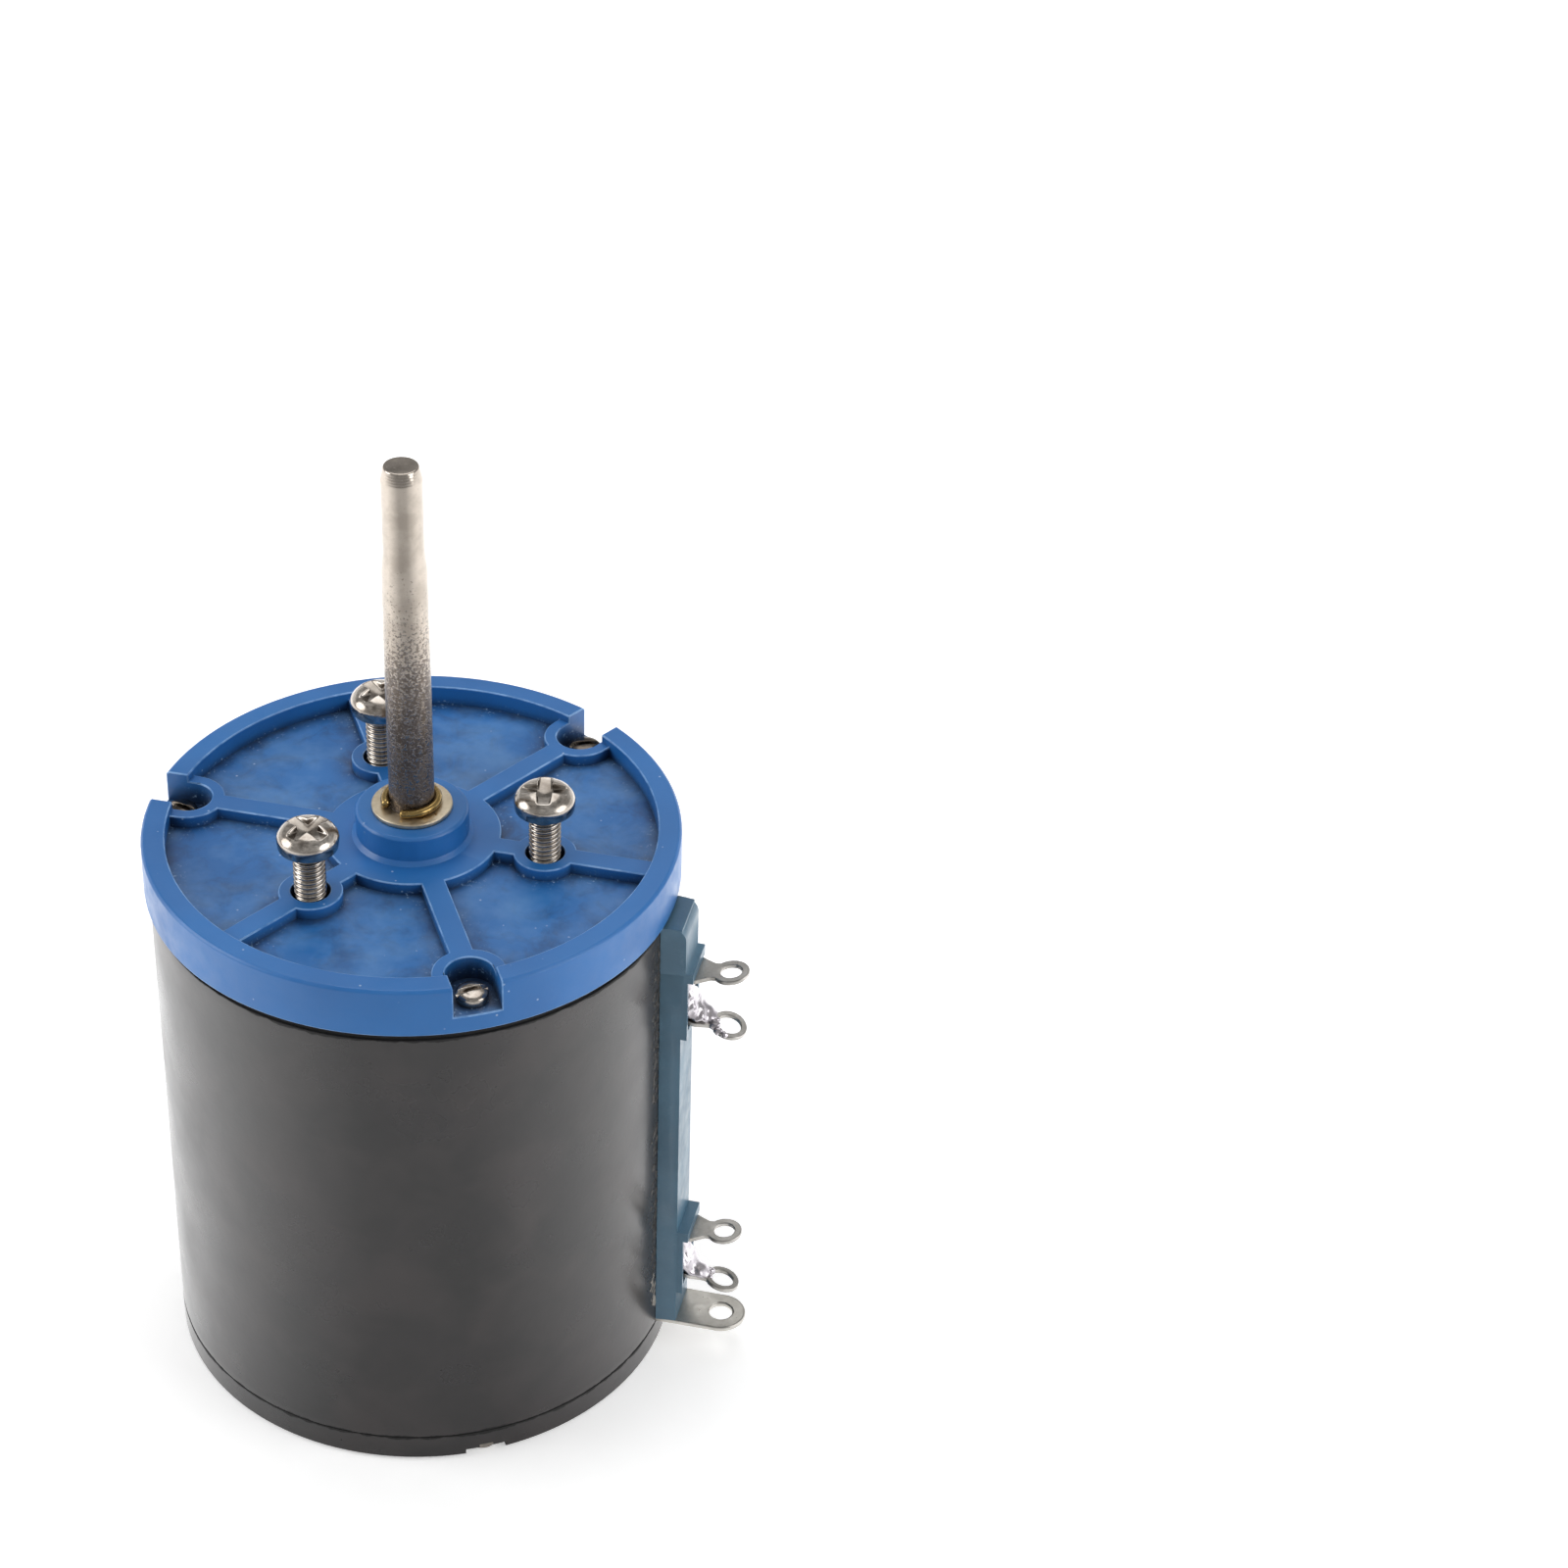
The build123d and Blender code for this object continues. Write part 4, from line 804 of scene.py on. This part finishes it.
def buildTerminal(name, node, s, worn, frontCurve, rearCurve, rearLean):
    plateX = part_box(node)[0].x / mm
    eyeX = tubeRadius + s["reach"]
    root, shoulder = eyeX - plateX - s["sheet"] / 2, eyeX - s["shoulder"]
    frontZ = frontEarRoot(s, node)
    rearZ = frontZ - s["spacing"]
    front = bent(tag(s, root, shoulder), np.tan(np.radians(s["bend"])), frontCurve, -shoulder)
    front = shifted(front, (eyeX, 0, frontZ))
    # the rear ear turns down about its root, and a little sideways
    rear = bent(tag(worn, root, shoulder), 0, rearCurve, -shoulder)
    rear = turned(rear, s["tilt"], (-root, 0, 0), axis=1)
    rear = turned(rear, rearLean, (-root, 0, 0), axis=0)
    rear = shifted(rear, (eyeX, 0, rearZ))
    half = s["flare"]
    outline = roundedPath([(rearZ, half, 0.15), (frontZ, half, 0.15), (frontZ, -half, 0.15),
                           (rearZ, -half, 0.15)], 4)
    middle = outline.mean(axis=0)
    rows = [np.hstack([np.full((len(outline), 1), plateX + x), (middle + (outline - middle) * k)[:, ::-1]])
            for x, k in [(0, 0), (0, 0.97), (0.08, 1), (0.37, 1), (0.45, 0.97), (0.45, 0)]]
    plate = (np.stack(rows), False, True)
    return makePiece(name, [front, rear, plate], tagTin, "housing", (node,))


def solderBead(s, solder, node, seed, lean):
    # solder that hugs the plate, fills the corner above the rear ear and thins out along its neck
    rearZ = frontEarRoot(s, node) - s["spacing"]
    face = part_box(node)[0].x / mm + s["sheet"]
    spine = np.array(solder["spine"]) * (1, lean, 1) + (face, 0, rearZ)
    radii = np.interp(np.linspace(0, 1, solder["rows"]), solder["shares"], solder["radii"])
    return sweep(curveThrough(spine, solder["rows"]), radii, solder["columns"], seed, solder["lump"],
                 solder["lumpSize"], wide=solder["wide"])


def solderDrop(centre, radius, seed, stretch=1.0):
    # a ball, or one stretched along X, whose radius is changed by ripples
    turn = np.linspace(0, np.pi, 14)
    path = np.stack([-radius * stretch * np.cos(turn), 0 * turn, 0 * turn], axis=1) + centre
    return sweep(path[1:-1], radius * np.sin(turn[1:-1]), 20, seed, 0.25, radius * 1.6)


def eyeDrops(s, node, seed, places):
    # small drops on the rear eye's rim
    rearZ = frontEarRoot(s, node) - s["spacing"]
    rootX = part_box(node)[0].x / mm + s["sheet"] / 2
    eyeX, fall = tubeRadius + s["reach"], np.tan(np.radians(s["tilt"]))
    drops = []
    for i, (angle, radius, height) in enumerate(places):
        x, y = s["dropCircle"] * np.cos(np.radians(angle)), s["dropCircle"] * np.sin(np.radians(angle))
        level = rearZ - (eyeX + x - rootX) * fall + height
        drops.append(solderDrop((eyeX + x - 0.05, y, level), radius, seed + i, 1.4))
    return drops


buildTerminal("frontTerminalTags", "front_terminal", tagSizes, wornTagSizes, 0.006, -0.012, 5)
buildTerminal("rearTerminalTags", "rear_terminal", tagSizes, wornTagSizes, -0.004, -0.010, -6)
makePiece("solderBeads", [solderBead(tagSizes, solderSizes, "front_terminal", 21, 0.25),
                          solderBead(tagSizes, solderSizes, "rear_terminal", 34, -0.2),
                          *eyeDrops(tagSizes, "front_terminal", 3, solderSizes["frontDrops"]),
                          *eyeDrops(tagSizes, "rear_terminal", 9, solderSizes["rearDrops"])],
          solderTin, "housing", ("solder_joints",))
lugMiddle = (bottom("wiper_terminal") + top("wiper_terminal")) / 2
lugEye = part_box("wiper_terminal")[1].x / mm - lugSizes["eye"]
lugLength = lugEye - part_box("wiper_terminal")[0].x / mm
lug = shifted(tag(lugSizes, lugLength, lugLength / 2), (lugEye, 0, lugMiddle))
makePiece("wiperLug", [lug], lugTin, "housing", ("wiper_terminal",))
roundedCopy("stripMoulding", "terminal_strip", stripSizes["edge"], stripPlastic, "housing")
print("potentiometer: terminals made")


# Cement squeezed out along the strip, as films that dip under the tube's surface at their own ragged edge
# each smear is a side, its lowest and highest level, its reach from the strip, a seed and a bias
smearSizes = dict(thick=0.10, stripHalf=2.7, pale=[(-1, 4.5, 11.5, 2.4, 44, 0.2)],
                  black=[(-1, 31.0, 51.5, 2.4, 5, 0.55), (-1, 8.5, 31.0, 2.2, 8, 0.45),
                         (1, 6.0, 50.0, 1.8, 14, 0.25)])


def smear(s, side, lowZ, highZ, reach, seed, bias):
    # thickness is noise that fades away from the strip and towards both ends; below zero it
    # lies inside the tube
    z = np.linspace(lowZ, highZ, int((highZ - lowZ) / 0.12))[:, None]
    out = np.linspace(-0.25, reach, 36)[None]
    rough = ripple(seed, 1.3, out * np.ones_like(z), z * np.ones_like(out))
    rough = rough + 0.5 * ripple(seed + 1, 0.5, out * np.ones_like(z), z * np.ones_like(out))
    ends = np.minimum(smoothStep(lowZ, lowZ + 1.5, z), 1 - smoothStep(highZ - 1.5, highZ, z))
    thick = (0.75 * rough + bias - 1.9 * (out / reach) ** 1.3) * ends - 0.25 * (1 - ends) - 0.02
    radius = tubeRadius + s["thick"] * np.clip(thick, -1.2, 1.0)
    angle = side * (s["stripHalf"] + out) / tubeRadius * np.ones_like(z)
    points = np.stack([radius * np.cos(angle), radius * np.sin(angle), z * np.ones_like(out)], axis=-1)
    return (points if side > 0 else points[:, ::-1]), False, False


makePiece("cementSmears", [smear(smearSizes, *place) for place in smearSizes["black"]], glueBlack,
          "housing", closed=False)
makePiece("cementResidue", [smear(smearSizes, *place) for place in smearSizes["pale"]], glueWhite,
          "housing", closed=False)
print("potentiometer: cement made")


# Pieces that keep their CAD shape
labelSizes = dict(ringInner=18.8, ringOuter=20.15, rule=0.14, blur=0.03,
                  boxes=[(-15.2, 3.6, 0.2, 3.8), (4.4, 15.4, 0.2, 3.8), (-15.6, 15.6, -4.6, -1.0),
                         (-11.5, 1.5, -9.4, -5.8), (3.0, 12.0, -9.4, -5.8)])
finishes = {
    "rating_label": printedLabel(labelSizes), "mounting_inserts": brassTurned, "stop_pins": steelPlain,
    "front_bearing_bush": brassTurned, "rear_bearing_bush": brassTurned, "thrust_washer": washerNickel,
    "resistance_element": windingWire, "front_lead_wire": leadCopper, "rear_lead_wire": leadCopper,
    "collector_brush": bronzeStrip, "brush_rivet": brassTurned, "rotor_front_plate": rotorPhenolic,
    "rotor_rear_plate": rotorPhenolic, "hub_set_screws": steelPlain, "guide_rod": steelPlain,
    "collector_rod": brassTurned, "slip_ring": brassTurned, "wiper_carriage": carriageAcetal,
    "collector_contact": bronzeStrip, "wiper_contact": bronzeStrip, "contact_screw": screwNickel,
}
for node, material in finishes.items():
    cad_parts[node].data.materials.clear()
    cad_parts[node].data.materials.append(material)
print("potentiometer: carried-over nodes finished")


# Floor, world, lamps and camera
cameraSizes = dict(place=(0.08899, -0.27440, 0.26804), turn=(54.531, -1.682, 12.339), lens=87.877)
stageSizes = dict(floor=1.6, shadowLift=0.42, shadowReach=0.10, whiteFrom=0.45, worldFill=0.38,
                  sideGlow=1.1, front=(0.31, -0.95), glowFrom=20, glowTo=85, frontMirror=0.3,
                  ceiling=1.1, ceilingReach=3.2, ceilingPatch=380, ceilingGlow=(0.16, 0.62))


def rayShare(tree, *kinds):  # 1 for rays of these kinds and 0 for the others
    path = addNode(tree, "LightPath", {})
    share = path.outputs[f"Is {kinds[0]} Ray"]
    for kind in kinds[1:]:
        share = math(tree, "MAXIMUM", share, path.outputs[f"Is {kind} Ray"])
    return share


def sideShare(tree, place, s):  # 0 in front of the object and 1 at its two sides
    front = np.array(s["front"]) / np.hypot(*s["front"])
    dots = [addNode(tree, "VectorMath", {"operation": "DOT_PRODUCT", 0: place, 1: (x, y, 0)})
            for x, y in (front, (-front[1], front[0]))]
    ahead, aside = (dot.outputs["Value"] for dot in dots)
    angle = math(tree, "ARCTAN2", math(tree, "ABSOLUTE", aside), ahead)
    return remap(tree, angle, np.radians(s["glowFrom"]), np.radians(s["glowTo"]))


def stagePlane(name, half, level, material):
    mesh = bpy.data.meshes.new(name)
    corners = [(-half, -half, level), (half, -half, level), (half, half, level), (-half, half, level)]
    mesh.from_pydata(corners, [], [(0, 1, 2, 3)])
    mesh.materials.append(material)
    plane = bpy.data.objects.new(name, mesh)
    bpy.context.scene.collection.objects.link(plane)
    return plane


def whitePaper(s):
    # white for the camera; in mirror rays it is brighter at the two sides of the object than in front of it
    material, tree, shader, place = startMaterial("white paper sweep", Roughness=0.9)
    grain = remap(tree, noise(tree, place, 3, 2), 0.3, 0.7)
    feed(tree, shader, Base_Color=mixColour(tree, grain, linear("#f7f7f7"), linear("#fbfbfb")))
    glow = times(tree, sideShare(tree, place, s), s["sideGlow"])
    glow = times(tree, glow, rayShare(tree, "Glossy"))
    # near the object the paper glows little and shows its shadow; further off it is plain white
    distance = addNode(tree, "VectorMath", {"operation": "LENGTH", 0: place}).outputs["Value"]
    lift = remap(tree, distance, s["shadowReach"], s["whiteFrom"], s["shadowLift"], 1)
    seen = times(tree, rayShare(tree, "Camera", "Transmission"), lift)
    shader.inputs["Emission Color"].default_value = (1, 1, 1, 1)
    feed(tree, shader, Emission_Strength=math(tree, "ADD", glow, seen))
    return material


def buildStage(s):
    stagePlane("paperFloor", s["floor"], 0, whitePaper(s))
    # a ceiling of lighter and darker patches that only mirror rays meet
    material, tree, shader, place = startMaterial("ceiling, patchy grey", Roughness=1.0)
    shader.inputs["Base Color"].default_value = linear("#202020")
    shader.inputs["Emission Color"].default_value = (1, 1, 1, 1)
    patches = noise(tree, place, s["ceilingPatch"], 2)
    feed(tree, shader, Emission_Strength=remap(tree, patches, 0.38, 0.62, *s["ceilingGlow"]))
    ceiling = stagePlane("patchyCeiling", s["ceilingReach"], s["ceiling"], material)
    for rays in ("camera", "diffuse", "shadow", "transmission"):
        setattr(ceiling, "visible_" + rays, False)
    world = bpy.data.worlds.new("lightTent")
    bpy.context.scene.world = world
    world.use_nodes = True
    back = world.node_tree.nodes["Background"]
    back.inputs["Color"].default_value = (1, 1, 1, 1)
    tree = world.node_tree
    direction = addNode(tree, "TexCoord", {}).outputs["Generated"]
    mirrored = times(tree, remap(tree, sideShare(tree, direction, s), 0, 1, s["frontMirror"], 1.0),
                    rayShare(tree, "Glossy"))
    seen = math(tree, "MAXIMUM", rayShare(tree, "Camera", "Transmission"), mirrored)
    tree.links.new(math(tree, "MAXIMUM", seen, s["worldFill"]), back.inputs["Strength"])


lampSizes = {  # place in metres, size in metres, watts
    "skyLamp": ((-0.05, 0.24, 0.62), 0.50, 1.1),
    "leftLamp": ((-0.52, -0.16, 0.30), 0.42, 1.5),
    "rightLamp": ((0.54, -0.10, 0.26), 0.42, 1.3),
}


def buildLamps(lamps):
    target = Vector((0, 0, 0.045))
    for name, (place, size, power) in lamps.items():
        data = bpy.data.lights.new(name, "AREA")
        data.shape = "DISK"
        data.size = size
        data.energy = power
        lamp = bpy.data.objects.new(name, data)
        lamp.location = place
        lamp.rotation_euler = (target - Vector(place)).to_track_quat("-Z", "Y").to_euler()
        bpy.context.scene.collection.objects.link(lamp)


def buildCamera(s):
    data = bpy.data.cameras.new("mainView")
    data.sensor_width = 36
    data.lens = s["lens"]
    data.clip_start = 0.01
    camera = bpy.data.objects.new("mainView", data)
    camera.location = s["place"]
    camera.rotation_euler = [np.radians(a) for a in s["turn"]]
    bpy.context.scene.collection.objects.link(camera)
    bpy.context.scene.camera = camera


buildStage(stageSizes)
buildLamps(lampSizes)
buildCamera(cameraSizes)
bpy.context.scene.view_settings.view_transform = "Standard"
print("potentiometer: stage set")
